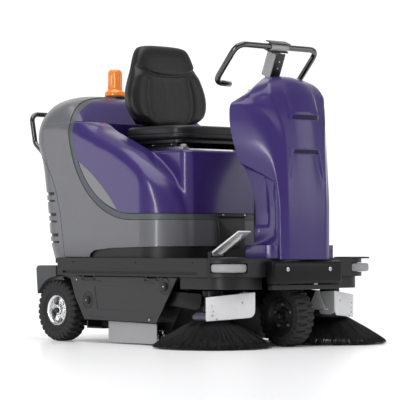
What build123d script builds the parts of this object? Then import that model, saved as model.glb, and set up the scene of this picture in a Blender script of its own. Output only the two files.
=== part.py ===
"""Battery ride-on sweeper: a three-wheeled floor sweeper with a seat, a steered front wheel,
a cylindrical main brush, two side brushes and a dust hopper that pulls out at the rear.

Frame: +X forward, +Y to the driver's left, +Z up, origin on the floor at the middle of the
overall length and width. Millimetres.
"""
from build123d import *
import math
import os

# ---------------------------------------------------------------- driving dimensions
BODY_HALF = 392.0
WALL = 5.0
SHEET = 6.0
GAP = 2.0
RUN_FIT = 0.05
PIN_R = 8.0

REAR_AXLE = (-424.0, 130.0)
REAR_R, REAR_W, REAR_Y = 130.0, 84.0, 360.0
RIM_R = 66.0
STUB_R = 12.5

FRONT_AXLE = (578.0, 122.0)
FRONT_R, FRONT_W, FRONT_RIM_R = 122.0, 92.0, 72.0
STEER_TILT = 5.8
SHAFT_R = 17.5

MAIN_BRUSH = (40.0, 132.0)
MAIN_R, MAIN_HALF = 131.0, 292.0
PLATE_Y = (300.0, 306.0)

SIDE_X, SIDE_Y, SIDE_R = 494.0, 326.0, 244.0
DISC_R, DISC_Z = 78.0, (108.0, 140.0)
MOTOR_R, MOTOR_TOP = 40.0, 230.0
ARM_PIVOT = (250.0, 200.0)
ARM_Y = (366.0, 370.0)

RAIL_Z = (280.0, 354.0)
RAIL_HALF, RAIL_FRONT, RAIL_REAR, RAIL_DEPTH, RAIL_CORNER = 410.0, 660.0, -402.0, 46.0, 110.0
ROLLER = (607.0, 341.0, 316.0)
ROLLER_R, ROLLER_H = 70.0, 34.0
DECK_Z = (322.0, 328.0)
BUMPER_HALF = 190.0

SEAT_DECK_Z = 800.0
ARCH_CENTRE, ARCH_R, ARCH_BOW, BAND = (70.0, 930.0), 395.0, 125.0, 26.0
HOOD_HINGE = (262.0, 548.0)
CUSHION_HALF, BACK_HALF = 230.0, 212.0
TUBE_R = 11.0

COLUMN_TOP = 1087.0
COVER_HINGE, COVER_HINGE_X = (389.0, 270.0), (-210.0, 200.0)
CONSOLE_X, CONSOLE_HALF, CONSOLE_Z = (425.0, 516.0), 150.0, (880.0, 1000.0)

os.makedirs("parts", exist_ok=True)


def export(piece, name):
    """Names a finished piece and writes it as a STEP file."""
    piece.label = name
    export_step(piece, f"parts/{name}.step")


def block(x, y, z, mode=Mode.ADD):
    """A box between two x, two y and two z."""
    with Locations(((x[0] + x[1]) / 2, (y[0] + y[1]) / 2, (z[0] + z[1]) / 2)):
        Box(abs(x[1] - x[0]), abs(y[1] - y[0]), abs(z[1] - z[0]), mode=mode)


def rod(point, axis, radius, length, mode=Mode.ADD):
    """A cylinder that starts at point and runs along axis."""
    with Locations(Plane(origin=point, z_dir=axis).location):
        Cylinder(radius, length, align=(Align.CENTER, Align.CENTER, Align.MIN), mode=mode)


def turned(point, axis, profile, mode=Mode.ADD):
    """A solid of revolution about axis: profile is (radius, distance along axis) corners."""
    z_dir = Vector(*axis).normalized()
    seed = Vector(1, 0, 0) if abs(z_dir.X) < 0.9 else Vector(0, 0, 1)
    x_dir = (seed - z_dir * seed.dot(z_dir)).normalized()
    across = Plane(origin=point, x_dir=x_dir, z_dir=x_dir.cross(z_dir))
    with BuildSketch(across) as sketch:
        with BuildLine():
            Polyline(*profile, close=True)
        make_face()
    revolve(profiles=sketch.sketch, axis=Axis(point, tuple(z_dir)), mode=mode)


def slab(points, y0, y1, mode=Mode.ADD):
    """A side-view outline in x, z, extruded from y0 to y1."""
    with BuildSketch(Plane.XZ.offset(-max(y0, y1))) as sketch:
        with BuildLine():
            Polyline(*points, close=True)
        make_face()
    extrude(sketch.sketch, amount=abs(y1 - y0), mode=mode)


def plan_face(z, corners, radii):
    """A plan section at height z with rounded corners."""
    with BuildSketch(Plane.XY.offset(z)) as sketch:
        with BuildLine():
            FilletPolyline(*corners, radius=radii, close=True)
        make_face()
    return sketch.sketch


def plate(z, corners, radii, mode=Mode.ADD):
    """A plan outline with rounded corners between two heights."""
    face = plan_face(z[0], corners, radii)
    extrude(face, amount=z[1] - z[0], mode=mode)


def rectangle(x_back, x_front, half, grow=0.0):
    """Corners of a rectangle in plan, grown outward."""
    back, front, side = x_back - grow, x_front + grow, half + grow
    return [(back, -side), (front, -side), (front, side), (back, side)]


# ---------------------------------------------------------------- bodywork volumes
# height, rear x, front x, half width, rear corner radius, front corner radius
LOWER_SECTIONS = [
    (355, -518, 275, 390, 118, 165),
    (410, -541, 275, 392, 120, 165),
    (535, -562, 275, 392, 120, 165),
    (650, -580, 270, 392, 120, 165),
    (780, -604, 262, 390, 120, 165),
    (930, -626, 250, 386, 120, 165),
]
DOME_SECTIONS = [
    (770, -600, -110, 391, 122, 150),
    (830, -638, -160, 392, 130, 150),
    (880, -634, -200, 391, 135, 150),
    (930, -618, -250, 385, 140, 150),
    (970, -603, -290, 365, 140, 140),
    (1010, -588, -335, 325, 120, 110),
    (1040, -572, -372, 260, 90, 80),
    (1060, -548, -405, 170, 50, 50),
]
FENDER_LINE = [(-330, 905), (-170, 872), (-30, 826), (80, 770), (160, 712), (230, 638), (275, 560),
               (290, 300)]
SEAT_BOX = (-300, 268, 262, 40)
RECESS = (-302, 250, 35)
DOOR_LINE = [(-362, 300), (-370, 353), (-400, 535), (-456, 690), (-500, 755), (-560, 798)]


def lofted(sections, inset, cap):
    """A body lofted through plan sections, inset inward and its two ends moved by inset and cap."""
    faces = []
    for index, (z, back, front, half, r_back, r_front) in enumerate(sections):
        height = z - inset if index == len(sections) - 1 else z
        height = z - cap if index == 0 else height
        radii = [r_back - inset, r_front - inset, r_front - inset, r_back - inset]
        faces.append(plan_face(height, rectangle(back, front, half, -inset), radii))
    with BuildPart() as solid:
        loft(faces, ruled=True)
    return solid.part


def body_volume(inset=0.0, cap=0.0):
    """The whole rear body as one volume: the fenders, the seat box and the dome behind the seat."""
    fender = [(-900, 200), (-900, 905 - inset)] + [(x - inset, z - inset) for x, z in FENDER_LINE]
    fender.append((290 - inset, 200))
    back, front, half, radius = SEAT_BOX
    recess_back, recess_half, recess_r = RECESS
    lower = lofted(LOWER_SECTIONS, inset, cap)
    dome = lofted(DOME_SECTIONS, inset, cap)
    with BuildPart() as volume:
        add(lower)
        slab(fender, -600, 600, mode=Mode.INTERSECT)
        box_radii = [radius - inset] * 4
        plate((355 - cap, SEAT_DECK_Z - inset), rectangle(back, front, half, -inset), box_radii)
        add(dome)
        pocket_radii = [recess_r + inset] * 4
        pocket = rectangle(recess_back - inset, 700, recess_half + inset)
        plate((SEAT_DECK_Z - inset, 1300), pocket, pocket_radii, mode=Mode.SUBTRACT)
    return volume.part


def hood_zone(margin):
    """The region in front of the hood's round rear edge, moved rearward by margin."""
    cx, cz = ARCH_CENTRE
    radius = ARCH_R + margin
    edge_x = cx - radius
    with BuildSketch(Plane.XZ.offset(-600)) as side_view:
        with BuildLine():
            arch = CenterArc((cx, cz), radius, 180, 90)
            Polyline(arch @ 1, (700, cz - radius), (700, cz), arch @ 0)
        make_face()
    with BuildSketch(Plane.XY.offset(cz)) as plan_view:
        with BuildLine():
            bow = ThreePointArc((edge_x, -BODY_HALF), (edge_x - ARCH_BOW, 0), (edge_x, BODY_HALF))
            Polyline(bow @ 0, (edge_x, -600), (700, -600), (700, 600), (edge_x, 600), bow @ 1)
        make_face()
    with BuildPart() as zone:
        extrude(side_view.sketch, amount=1200)
        extrude(plan_view.sketch, amount=400)
    return zone.part


def side_solid(points):
    """A side-view outline extruded across the whole machine."""
    with BuildPart() as solid:
        slab(points, -600, 600)
    return solid.part


def door_zone(margin):
    """The region behind the hopper door's front edge, moved rearward by margin."""
    points = [(x - margin, z - margin) for x, z in DOOR_LINE]
    return side_solid([(-900, 300)] + points + [(-900, 798 - margin)])


outer = body_volume()
inner = body_volume(WALL, 40.0)
skin = outer - inner
sunk_skin = body_volume(3.0) - inner

hood_cut = hood_zone(-GAP)
band_cut = hood_zone(BAND)
door_cut = door_zone(0.0)
lower_edge = side_solid([(-900, 200), (-900, 357), (-171, 374), (200, 399), (400, 405), (400, 200)])

hood_skin = skin & hood_cut
band_skin = (sunk_skin & hood_zone(BAND - GAP)) - hood_zone(0.0) - lower_edge
body_skin = skin - band_cut - door_cut - lower_edge
door_skin = skin & door_zone(GAP)


# ---------------------------------------------------------------- shells of the bodywork
LOUVRES = (626.0, 595.0, 537.0, 507.0, 450.0, 420.0)
LOUVRE_H = 9.0


def largest(part):
    """The biggest solid of a part."""
    return Part() + max(part.solids(), key=lambda solid: solid.volume)


with BuildPart() as hood_shell:
    add(largest(hood_skin))
    for hinge_y in (-120, 120):
        block((240, 300), (hinge_y - 37, hinge_y + 37), (520, 550), mode=Mode.SUBTRACT)
    for hinge_y in (-120, 120):
        rod((HOOD_HINGE[0], hinge_y - 30, HOOD_HINGE[1]), (0, 1, 0), 9, 60)
        rod((HOOD_HINGE[0], hinge_y - 31, HOOD_HINGE[1]), (0, 1, 0), 5 + RUN_FIT, 62, mode=Mode.SUBTRACT)
export(hood_shell.part, "hood_shell")

with BuildPart() as body_shell:
    add(largest(body_skin))
    for side in (-1, 1):
        block((-180, 40), (side * 386, side * 393), (419, 421), mode=Mode.SUBTRACT)
    for hinge_y in (-120, 120):
        for ear in (-34.5, 30.5):
            block((252, 268), (hinge_y + ear, hinge_y + ear + 4), (490, 554))
            block((266, 271), (hinge_y + ear, hinge_y + ear + 4), (490, 506))
        rod((HOOD_HINGE[0], hinge_y - 33, HOOD_HINGE[1]), (0, 1, 0), 5, 66)
export(body_shell.part, "body_shell")

with BuildPart() as arch_band:
    add(largest(band_skin))
    block((230, 300), (-400, 400), (528, 540), mode=Mode.SUBTRACT)
    for hinge_y in (-120, 120):
        block((230, 300), (hinge_y - 38, hinge_y + 38), (500, 540), mode=Mode.SUBTRACT)
export(arch_band.part, "arch_band")

with BuildPart() as rear_door:
    add(largest(door_skin))
    for louvre_z in LOUVRES:
        slot_z = (louvre_z - LOUVRE_H / 2, louvre_z + LOUVRE_H / 2)
        block((-700, -470), (-330, 330), slot_z, mode=Mode.SUBTRACT)
    for stay_y in (-200, 0, 200):
        block((-538, -500.02), (stay_y - 12, stay_y + 12), (396, 436))
export(rear_door.part, "rear_door")

# ---------------------------------------------------------------- chassis
BIN_X = (-500.0, -120.0)
SIDE_PLATE = [(-490, 322), (-490, 250), (-470, 95), (-378, 95), (-300, 200), (-130, 200), (-110, 60), (215, 60),
              (300, 170), (340, 262), (470, 262), (470, 322)]
CHAMBER_R = (139.0, 143.0)
axle_x, axle_z = REAR_AXLE
brush_x, brush_z = MAIN_BRUSH
front_x, front_z = FRONT_AXLE
lean = math.tan(math.radians(STEER_TILT))
shaft_axis = Vector(-lean, 0, 1).normalized()
pivot_x, pivot_z = ARM_PIVOT
roller_x, roller_y, roller_z = ROLLER


def on_shaft(height):
    """The point of the steering axis at a height."""
    return (front_x - lean * (height - front_z), 0, height)


with BuildPart() as chassis_frame:
    deck = [(-490, -300), (612, -300), (612, 300), (-490, 300)]
    plate(DECK_Z, deck, [8, 60, 60, 8])
    for side in (-1, 1):
        y0, y1 = side * PLATE_Y[0], side * PLATE_Y[1]
        slab(SIDE_PLATE, y0, y1)
        rod((axle_x, side * PLATE_Y[0], axle_z), (0, side, 0), STUB_R, REAR_Y + REAR_W / 2 - PLATE_Y[0] - 4)
        rod((axle_x, side * PLATE_Y[1], axle_z), (0, side, 0), 26, 8)
        rod((pivot_x, side * PLATE_Y[0], pivot_z), (0, side, 0), PIN_R, ARM_Y[1] + 4 - PLATE_Y[0])
        block((-96, -60), (side * 306, side * 358), (84, 90))
        block((150, 186), (side * 306, side * 358), (84, 90))
        rod((brush_x, side * 270, brush_z), (0, side, 0), 9, 36)
        slab([(-230, 60), (-130, 60), (-130, 66), (-224, 66), (-224, 92), (-230, 92)], side * 310, side * 384)
        block((-150, -130), (side * 306, side * 320), (60, 200))
        for gusset_x in (-180, 120, 410):
            block((gusset_x, gusset_x + SHEET), (side * 306, side * 363.98), (284, 328))
    rod(on_shaft(286), shaft_axis, 34, 74)
    block((500, 612), (-40, 40), (312, 322))
    rod(on_shaft(270), shaft_axis, SHAFT_R + RUN_FIT, 130, mode=Mode.SUBTRACT)
    for side in (-1, 1):
        rod((roller_x, side * roller_y, 310), (0, 0, 1), ROLLER_R + 5, 30, mode=Mode.SUBTRACT)
export(chassis_frame.part, "chassis_frame")

with BuildPart() as brush_chamber:
    turned((brush_x, -296, brush_z), (0, 1, 0), [(CHAMBER_R[0], 0), (CHAMBER_R[1], 0), (CHAMBER_R[1], 592),
                                                 (CHAMBER_R[0], 592)])
    block((-200, 300), (-300, 300), (-60, 118), mode=Mode.SUBTRACT)
    block((-200, -96), (-300, 300), (-60, 160), mode=Mode.SUBTRACT)
    block((176, 182), (-296, 296), (40, 130))
    block((-80, 160), (-296, 296), (272, 276))
    for rib_x in (-70, 36, 146):
        block((rib_x, rib_x + 4), (-290, 290), (274, 322))
export(brush_chamber.part, "brush_chamber")

with BuildPart() as side_skirts:
    for side in (-1, 1):
        slab([(-113, 5), (196, 5), (196, 87), (-113, 92)], side * 358, side * 362)
export(side_skirts.part, "side_skirts")

with BuildPart() as rear_fenders:
    for side in (-1, 1):
        guard = [(-562, 178), (-562, 240), (-545, 322), (-300, 322), (-290, 296), (-330, 250), (-424, 130)]
        slab(guard, side * 312, side * 400)
        rod((axle_x, side * 308, axle_z), (0, side, 0), REAR_R + 13, 96, mode=Mode.SUBTRACT)
        block((-424, -280), (side * 362, side * 402), (200, 323), mode=Mode.SUBTRACT)
export(rear_fenders.part, "rear_fenders")

# ---------------------------------------------------------------- bumper, rail and platform
def rail_outline(inset):
    """Plan corners and radii of the bumper rail, inset from its outer face."""
    corners = rectangle(RAIL_REAR, RAIL_FRONT - inset, RAIL_HALF - inset)
    corner = max(RAIL_CORNER - inset, 10)
    return corners, [6, corner, corner, 6]


with BuildPart() as bumper_rail:
    plate(RAIL_Z, *rail_outline(0))
    plate((RAIL_Z[0] - 1, RAIL_Z[1] + 1), rectangle(RAIL_REAR - 20, RAIL_FRONT - RAIL_DEPTH,
          RAIL_HALF - RAIL_DEPTH), [5, 64, 64, 5], mode=Mode.SUBTRACT)
    for side in (-1, 1):
        block((RAIL_REAR + 40, 500), (side * 402, side * 412), (290, 300), mode=Mode.SUBTRACT)
        pocket_z = roller_z - ROLLER_H / 2 - 2
        rod((roller_x, side * roller_y, pocket_z), (0, 0, 1), ROLLER_R + 4, ROLLER_H + 4, mode=Mode.SUBTRACT)
        rod((roller_x, side * roller_y, 285), (0, 0, 1), PIN_R, 64)
        for hinge_x in COVER_HINGE_X:
            block((hinge_x - 44, hinge_x - 31), (side * 386, side * 392), (264, 281))
            block((hinge_x + 31, hinge_x + 44), (side * 386, side * 392), (264, 281))
            rod((hinge_x - 44, side * COVER_HINGE[0], COVER_HINGE[1]), (1, 0, 0), 2.5, 88)
export(bumper_rail.part, "bumper_rail")

with BuildPart() as rail_skirt:
    plate((232, 279.5), rectangle(368, 636, 386), [4, 90, 90, 4])
    plate((231, 281), rectangle(340, 630, 380), [4, 84, 84, 4], mode=Mode.SUBTRACT)
    block((620, 700), (-1 - BUMPER_HALF, BUMPER_HALF + 1), (231, 281), mode=Mode.SUBTRACT)
export(rail_skirt.part, "rail_skirt")

with BuildPart() as front_bumper:
    plate((229, 345), rectangle(660.02, 710, BUMPER_HALF), [6, 26, 26, 6])
    plate((240, 334), rectangle(655, 700, BUMPER_HALF - 11), [4, 20, 20, 4], mode=Mode.SUBTRACT)
    block((660.5, 664), (14 - BUMPER_HALF, BUMPER_HALF - 14), (290, 334))
    for seam_y in (-150, 150):
        block((706, 712), (seam_y - 1, seam_y + 1), (228, 346), mode=Mode.SUBTRACT)
    for screw_y in (-116, 116):
        rod((700, screw_y, 311), (1, 0, 0), 8, 12)
        rod((711, screw_y, 311), (1, 0, 0), 4, 3, mode=Mode.SUBTRACT)
export(front_bumper.part, "front_bumper")

with BuildPart() as platform:
    plate((330.5, 354), rectangle(-478, 612, 362), [6, 68, 68, 6])
    plate((354, 404), rectangle(-478, 262, 380), [60, 155, 155, 60])
    plate((353, 405), rectangle(-474, 256, 374), [56, 149, 149, 56], mode=Mode.SUBTRACT)
    block((-500, -280), (-400, 400), (353, 406), mode=Mode.SUBTRACT)
    plate((330, 348), rectangle(-470, 604, 354), [4, 52, 52, 4], mode=Mode.SUBTRACT)
    rod(on_shaft(300), shaft_axis, 38, 100, mode=Mode.SUBTRACT)
    for side in (-1, 1):
        rod((roller_x, side * roller_y, 320), (0, 0, 1), ROLLER_R + 5, 17, mode=Mode.SUBTRACT)
    for rib_x in (300, 340, 380):
        block((rib_x, rib_x + 10), (-150, 150), (353, 356))
    for side in (-1, 1):
        for ear_y in (178, 251):
            block((388, 408), (side * ear_y, side * (ear_y + 5)), (353, 380))
        rod((398, side * 178, 370), (0, side, 0), 5, 78)
export(platform.part, "platform")

for side, side_name in ((-1, "right"), (1, "left")):
    with BuildPart() as roller:
        turned((roller_x, side * roller_y, roller_z - ROLLER_H / 2), (0, 0, 1),
               [(PIN_R + RUN_FIT, 0), (62, 0), (ROLLER_R, 6), (ROLLER_R, ROLLER_H - 6), (62, ROLLER_H),
                (PIN_R + RUN_FIT, ROLLER_H)])
    export(roller.part, f"bumper_roller_{side_name}")

    with BuildPart() as pedal:
        slab([(398, 367), (566, 458), (563, 463), (394, 374)], side * 184.5, side * 249.5)
        slab([(404, 371), (556, 453), (540, 430), (430, 368)], side * 214, side * 220)
        rod((398, side * 184.5, 370), (0, side, 0), 9, 65)
        rod((398, side * 183, 370), (0, side, 0), 5 + RUN_FIT, 70, mode=Mode.SUBTRACT)
    export(pedal.part, "accelerator_pedal" if side < 0 else "brake_pedal")

# ---------------------------------------------------------------- steering column and console
# height, half width at the rear, half width at the front, rear x, front x, front corner radius
COLUMN_SECTIONS = [
    (356, 152, 160, 524, 702, 30),
    (470, 142, 152, 522, 702, 34),
    (593, 150, 147, 520, 702, 38),
    (757, 214, 141, 520, 700, 44),
    (880, 250, 135, 520, 696, 48),
    (970, 248, 112, 520, 684, 46),
    (1041, 190, 92, 520, 655, 40),
    (COLUMN_TOP, 110, 62, 524, 620, 30),
]


def column_volume(inset, back):
    """The front column lofted through trapezoid plan sections, its rear moved by back."""
    faces = []
    for index, (z, rear_half, nose_half, rear, nose, radius) in enumerate(COLUMN_SECTIONS):
        height = z - inset if index == len(COLUMN_SECTIONS) - 1 else z
        height = z - 3 * inset if index == 0 else height
        slope = (rear_half - nose_half) / (nose - rear)
        half_back = rear_half - inset * 1.2 - slope * back
        half_front = nose_half - inset * 1.2
        corners = [(rear + back, -half_back), (nose - inset, -half_front), (nose - inset, half_front),
                   (rear + back, half_back)]
        faces.append(plan_face(height, corners, [4, radius - inset, radius - inset, 4]))
    with BuildPart() as solid:
        loft(faces, ruled=True)
    return solid.part


column_outer = column_volume(0.0, 0.0)
column_inner = column_volume(WALL, -20.0)
with BuildPart() as steering_column:
    add(column_outer - column_inner)
    block((690, 720), (-62, 62), (700, 706), mode=Mode.SUBTRACT)
    block((515, 560), (-60, 60), (1060, 1100), mode=Mode.SUBTRACT)
export(steering_column.part, "steering_column")

with BuildPart() as column_cover:
    plate((356, 878), rectangle(450, 519, 70), [16, 4, 4, 16])
    plate((350, 874), rectangle(455, 530, 65), [11, 4, 4, 11], mode=Mode.SUBTRACT)
    rod(on_shaft(840), shaft_axis, 24, 60, mode=Mode.SUBTRACT)
export(column_cover.part, "column_cover")

with BuildPart() as console:
    c0, c1 = CONSOLE_X
    slab([(c0 + 30, CONSOLE_Z[0]), (c0, 960), (c0 + 6, 985), (c0 + 60, CONSOLE_Z[1]), (c1, CONSOLE_Z[1]),
          (c1, CONSOLE_Z[0])], -CONSOLE_HALF, CONSOLE_HALF)
    slab([(c0 + 36, CONSOLE_Z[0] + 5), (c0 + 6, 960), (c0 + 11, 981), (c0 + 62, CONSOLE_Z[1] - 5),
          (c1 + 2, CONSOLE_Z[1] - 5), (c1 + 2, CONSOLE_Z[0] + 5)], -CONSOLE_HALF + 5, CONSOLE_HALF - 5,
         mode=Mode.SUBTRACT)
    rod(on_shaft(840), shaft_axis, 24, 200, mode=Mode.SUBTRACT)
    for button_y in (-110, -60, 110):
        rod((c0 + 52, button_y, 980), (0, 0, 1), 14, 22)
        rod((c0 + 52, button_y, 970), (0, 0, 1), 9 + RUN_FIT, 40, mode=Mode.SUBTRACT)
    block((c0 - 2, c0 + 4), (-60, 60), (925, 958))
export(console.part, "console")

button_x = CONSOLE_X[0] + 52
with BuildPart() as key_switch:
    rod((button_x, -110, 984), (0, 0, 1), 9, 24)
    block((button_x - 10, button_x + 10), (-112, -108), (1008, 1034))
export(key_switch.part, "key_switch")

with BuildPart() as horn_button:
    rod((button_x, -60, 984), (0, 0, 1), 9, 24)
    rod((button_x, -60, 1008), (0, 0, 1), 12, 6)
export(horn_button.part, "horn_button")

with BuildPart() as stop_button:
    rod((button_x, 110, 984), (0, 0, 1), 9, 24)
    turned((button_x, 110, 1008), (0, 0, 1), [(0, 0), (16, 0), (20, 6), (20, 12), (14, 18), (0, 20)])
export(stop_button.part, "stop_button")

STEM_FOOT = (480.0, 1090.0)
BAR = (528.0, 1206.0)
BAR_HALF, BAR_DROP, BAR_END = 232.0, 134.0, 74.0
STEM_HALF = 26.0
stem_dir = Vector(BAR[0] - STEM_FOOT[0], 0, BAR[1] - STEM_FOOT[1]).normalized()
stem_len = 100.0
with BuildPart() as steering_stem:
    foot = (STEM_FOOT[0], 0, STEM_FOOT[1])
    with Locations(Plane(origin=foot, x_dir=(0, 1, 0), z_dir=tuple(stem_dir)).location):
        Box(2 * STEM_HALF, 2 * STEM_HALF, stem_len, align=(Align.CENTER, Align.CENTER, Align.MIN))
        Box(2 * STEM_HALF - 8, 2 * STEM_HALF, stem_len - 8, align=(Align.CENTER, Align.MIN, Align.MIN),
            mode=Mode.SUBTRACT)
        with Locations((0, 10, 4)):
            Box(2 * STEM_HALF - 8, STEM_HALF, stem_len - 12, align=(Align.CENTER, Align.MAX, Align.MIN),
                mode=Mode.SUBTRACT)
    rod(on_shaft(1050), shaft_axis, 21, 46)
    rod(on_shaft(1040), shaft_axis, SHAFT_R + 0.02, 44, mode=Mode.SUBTRACT)
export(steering_stem.part, "steering_stem")

bar_clear = TUBE_R + 0.02
clamp_foot = Vector(STEM_FOOT[0], 0, STEM_FOOT[1]) + stem_dir * (stem_len + 0.02)
with BuildPart() as bar_clamp:
    with Locations(Plane(origin=tuple(clamp_foot), x_dir=(0, 1, 0), z_dir=tuple(stem_dir)).location):
        Box(110, 46, 44, align=(Align.CENTER, Align.CENTER, Align.MIN))
    rod((BAR[0], -60, BAR[1]), (0, 1, 0), bar_clear, 120, mode=Mode.SUBTRACT)
export(bar_clamp.part, "bar_clamp")

bar_x, bar_z = BAR
low = (bar_x - BAR_DROP, bar_z - BAR_DROP)
with BuildPart() as handlebar:
    with BuildLine() as bar_path:
        FilletPolyline((low[0] - 4, -BAR_HALF + BAR_END, low[1] - 4), (low[0], -BAR_HALF, low[1]),
                       (bar_x, -BAR_HALF, bar_z), (bar_x, BAR_HALF, bar_z), (low[0], BAR_HALF, low[1]),
                       (low[0] - 4, BAR_HALF - BAR_END, low[1] - 4), radius=32)
    with BuildSketch(Plane(origin=bar_path.line @ 0, z_dir=bar_path.line % 0)):
        Circle(TUBE_R)
        Circle(TUBE_R - 2.5, mode=Mode.SUBTRACT)
    sweep(path=bar_path.line)
export(handlebar.part, "handlebar")

FORK_Y = (58.0, 64.0)
CROWN_NEAR = 40.0
with BuildPart() as front_fork:
    rod(on_shaft(258), shaft_axis, SHAFT_R, 826)
    with Locations(Plane(origin=on_shaft(250), x_dir=(1, 0, lean), z_dir=tuple(shaft_axis)).location):
        Cylinder(32, 16, align=(Align.CENTER, Align.CENTER, Align.MIN))
        with Locations((0, (FORK_Y[1] - CROWN_NEAR) / 2, 0)):
            Box(90, FORK_Y[1] + CROWN_NEAR, 10, align=(Align.CENTER, Align.CENTER, Align.MIN))
    slab([(522, 252), (608, 261), (600, 110), (590, 92), (566, 92), (556, 110)], *FORK_Y)
    rod((front_x, -52, front_z), (0, 1, 0), STUB_R, 124)
    rod((front_x, 64, front_z), (0, 1, 0), 18, 8)
export(front_fork.part, "front_fork")

# ---------------------------------------------------------------- wheels
TREAD_DROP = 12.0


def tyre_profile(outer_r, inner_r, width):
    """Half section of a tyre with rounded shoulders about its own axis."""
    half = width / 2
    near = [(inner_r, -half * 0.72), (inner_r + 14, -half * 0.94), (outer_r - 34, -half),
            (outer_r - TREAD_DROP, -half * 0.96), (outer_r, -half * 0.72)]
    return near + [(radius, -across) for radius, across in reversed(near)]


def rim_profile(radius, width, bore):
    """Half section of a wheel rim: a hub, a dished web and a flanged barrel."""
    half = width / 2
    near = [(bore, -half), (26, -half), (26, -6), (radius - 12, -6), (radius - 12, -half * 0.7),
            (radius, -half * 0.7)]
    return near + [(edge, -across) for edge, across in reversed(near)]


with BuildPart() as front_tyre:
    turned((front_x, 0, front_z), (0, 1, 0), tyre_profile(FRONT_R, FRONT_RIM_R, FRONT_W))
export(front_tyre.part, "front_tyre")

with BuildPart() as front_rim:
    turned((front_x, 0, front_z), (0, 1, 0), rim_profile(FRONT_RIM_R - 0.02, 100, STUB_R + RUN_FIT))
export(front_rim.part, "front_rim")

for side, side_name in ((-1, "right"), (1, "left")):
    centre = (axle_x, side * REAR_Y, axle_z)
    with BuildPart() as rear_tyre:
        turned(centre, (0, 1, 0), tyre_profile(REAR_R, RIM_R, REAR_W))
    export(rear_tyre.part, f"rear_tyre_{side_name}")
    with BuildPart() as rear_rim:
        turned(centre, (0, 1, 0), rim_profile(RIM_R - 0.02, 70, STUB_R + RUN_FIT))
        for hole in range(5):
            angle = math.radians(hole * 72)
            hole_at = (axle_x + 40 * math.cos(angle), side * REAR_Y - 20, axle_z + 40 * math.sin(angle))
            rod(hole_at, (0, 1, 0), 9, 40, mode=Mode.SUBTRACT)
    export(rear_rim.part, f"rear_rim_{side_name}")

# ---------------------------------------------------------------- sweeping gear
CORE_R = 60.0
with BuildPart() as main_brush_core:
    turned((brush_x, -MAIN_HALF, brush_z), (0, 1, 0), [(9 + RUN_FIT, 0), (CORE_R, 0), (CORE_R, 2 * MAIN_HALF),
                                                       (9 + RUN_FIT, 2 * MAIN_HALF)])
    for rib in range(6):
        angle = math.radians(rib * 60)
        rib_at = (brush_x + 34 * math.cos(angle), -MAIN_HALF - 1, brush_z + 34 * math.sin(angle))
        rod(rib_at, (0, 1, 0), 13, 2 * MAIN_HALF + 2, mode=Mode.SUBTRACT)
export(main_brush_core.part, "main_brush_core")

with BuildPart() as main_brush_bristles:
    turned((brush_x, -286, brush_z), (0, 1, 0), [(CORE_R + 0.02, 0), (MAIN_R, 0), (MAIN_R, 572),
                                                 (CORE_R + 0.02, 572)])
    for row in range(8):
        angle = math.radians(row * 45 + 22.5)
        row_at = (brush_x + 124 * math.cos(angle), -287, brush_z + 124 * math.sin(angle))
        rod(row_at, (0, 1, 0), 34, 574, mode=Mode.SUBTRACT)
export(main_brush_bristles.part, "main_brush_bristles")

ARM_PLATE = [(238, 176), (262, 168), (440, 150), (468, 156), (478, 178), (478, 214), (262, 222), (238, 214)]
GUARD_OUTER = (549.0, 408.0)
GUARD_INNER = (629.0, 221.0)
GUSSET = [(493, 142), (595, 142), (595, 150), (556, 221), (540, 221)]
for side, side_name in ((-1, "right"), (1, "left")):
    y0, y1 = side * ARM_Y[0], side * ARM_Y[1]
    spindle = (SIDE_X, side * SIDE_Y, DISC_Z[1] + 0.4)
    guard_run = Vector(GUARD_INNER[0] - GUARD_OUTER[0], side * (GUARD_INNER[1] - GUARD_OUTER[1]), 0)
    guard_plane = Plane(origin=(GUARD_OUTER[0], side * GUARD_OUTER[1], 0), x_dir=guard_run, z_dir=(0, 0, 1))
    guard_face = Plane(origin=guard_plane.origin, x_dir=guard_run, z_dir=guard_run.cross(Vector(0, 0, 1)))
    with BuildPart() as arm:
        slab(ARM_PLATE, y0, y1)
        rod((pivot_x, side * 352, pivot_z), (0, side, 0), 14, 18)
        rod((pivot_x, side * 350, pivot_z), (0, side, 0), PIN_R + RUN_FIT, 24, mode=Mode.SUBTRACT)
        block((400, 478), (side * 290, side * 370), (186, 190))
        rod(spindle, (0, 0, 1), MOTOR_R, MOTOR_TOP - spindle[2])
        rod((SIDE_X, side * SIDE_Y, DISC_Z[0] + 4), (0, 0, 1), 7, 60)
        with BuildSketch(guard_face) as guard_outline:
            with BuildLine():
                FilletPolyline((0, 108), (guard_run.length, 122), (guard_run.length, 221), (0, 202),
                               radius=[4, 26, 4, 4], close=True)
            make_face()
        extrude(guard_outline.sketch, amount=2, both=True)
        slab([(540, 124), (628, 124), (628, 221), (540, 217)], side * 219, side * 223)
        slab(GUSSET, side * 200, side * 204)
        block((500, 592), (side * 200, side * 223), (142, 146))
        with BuildSketch(Plane.XY.offset(196)) as tie_outline:
            with BuildLine():
                Polyline((SIDE_X + 20, side * 300), (SIDE_X + 20, side * 352), (572, side * 352),
                         (600, side * 288), close=True)
            make_face()
        extrude(tie_outline.sketch, amount=4)
    export(arm.part, f"side_brush_arm_{side_name}")

    with BuildPart() as disc:
        turned((SIDE_X, side * SIDE_Y, DISC_Z[0]), (0, 0, 1), [
            (7 + RUN_FIT, 0), (DISC_R - 8, 0), (DISC_R, 8), (DISC_R, 20), (DISC_R - 16, 32),
            (7 + RUN_FIT, 32)])
    export(disc.part, f"side_brush_disc_{side_name}")

    with BuildPart() as bristles:
        turned((SIDE_X, side * SIDE_Y, 0), (0, 0, 1), [
            (58, 107.98), (58, 98), (150, 46), (222, 2), (SIDE_R, 2), (SIDE_R, 7), (158, 56), (74, 107.98)])
    export(bristles.part, f"side_brush_bristles_{side_name}")

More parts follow.
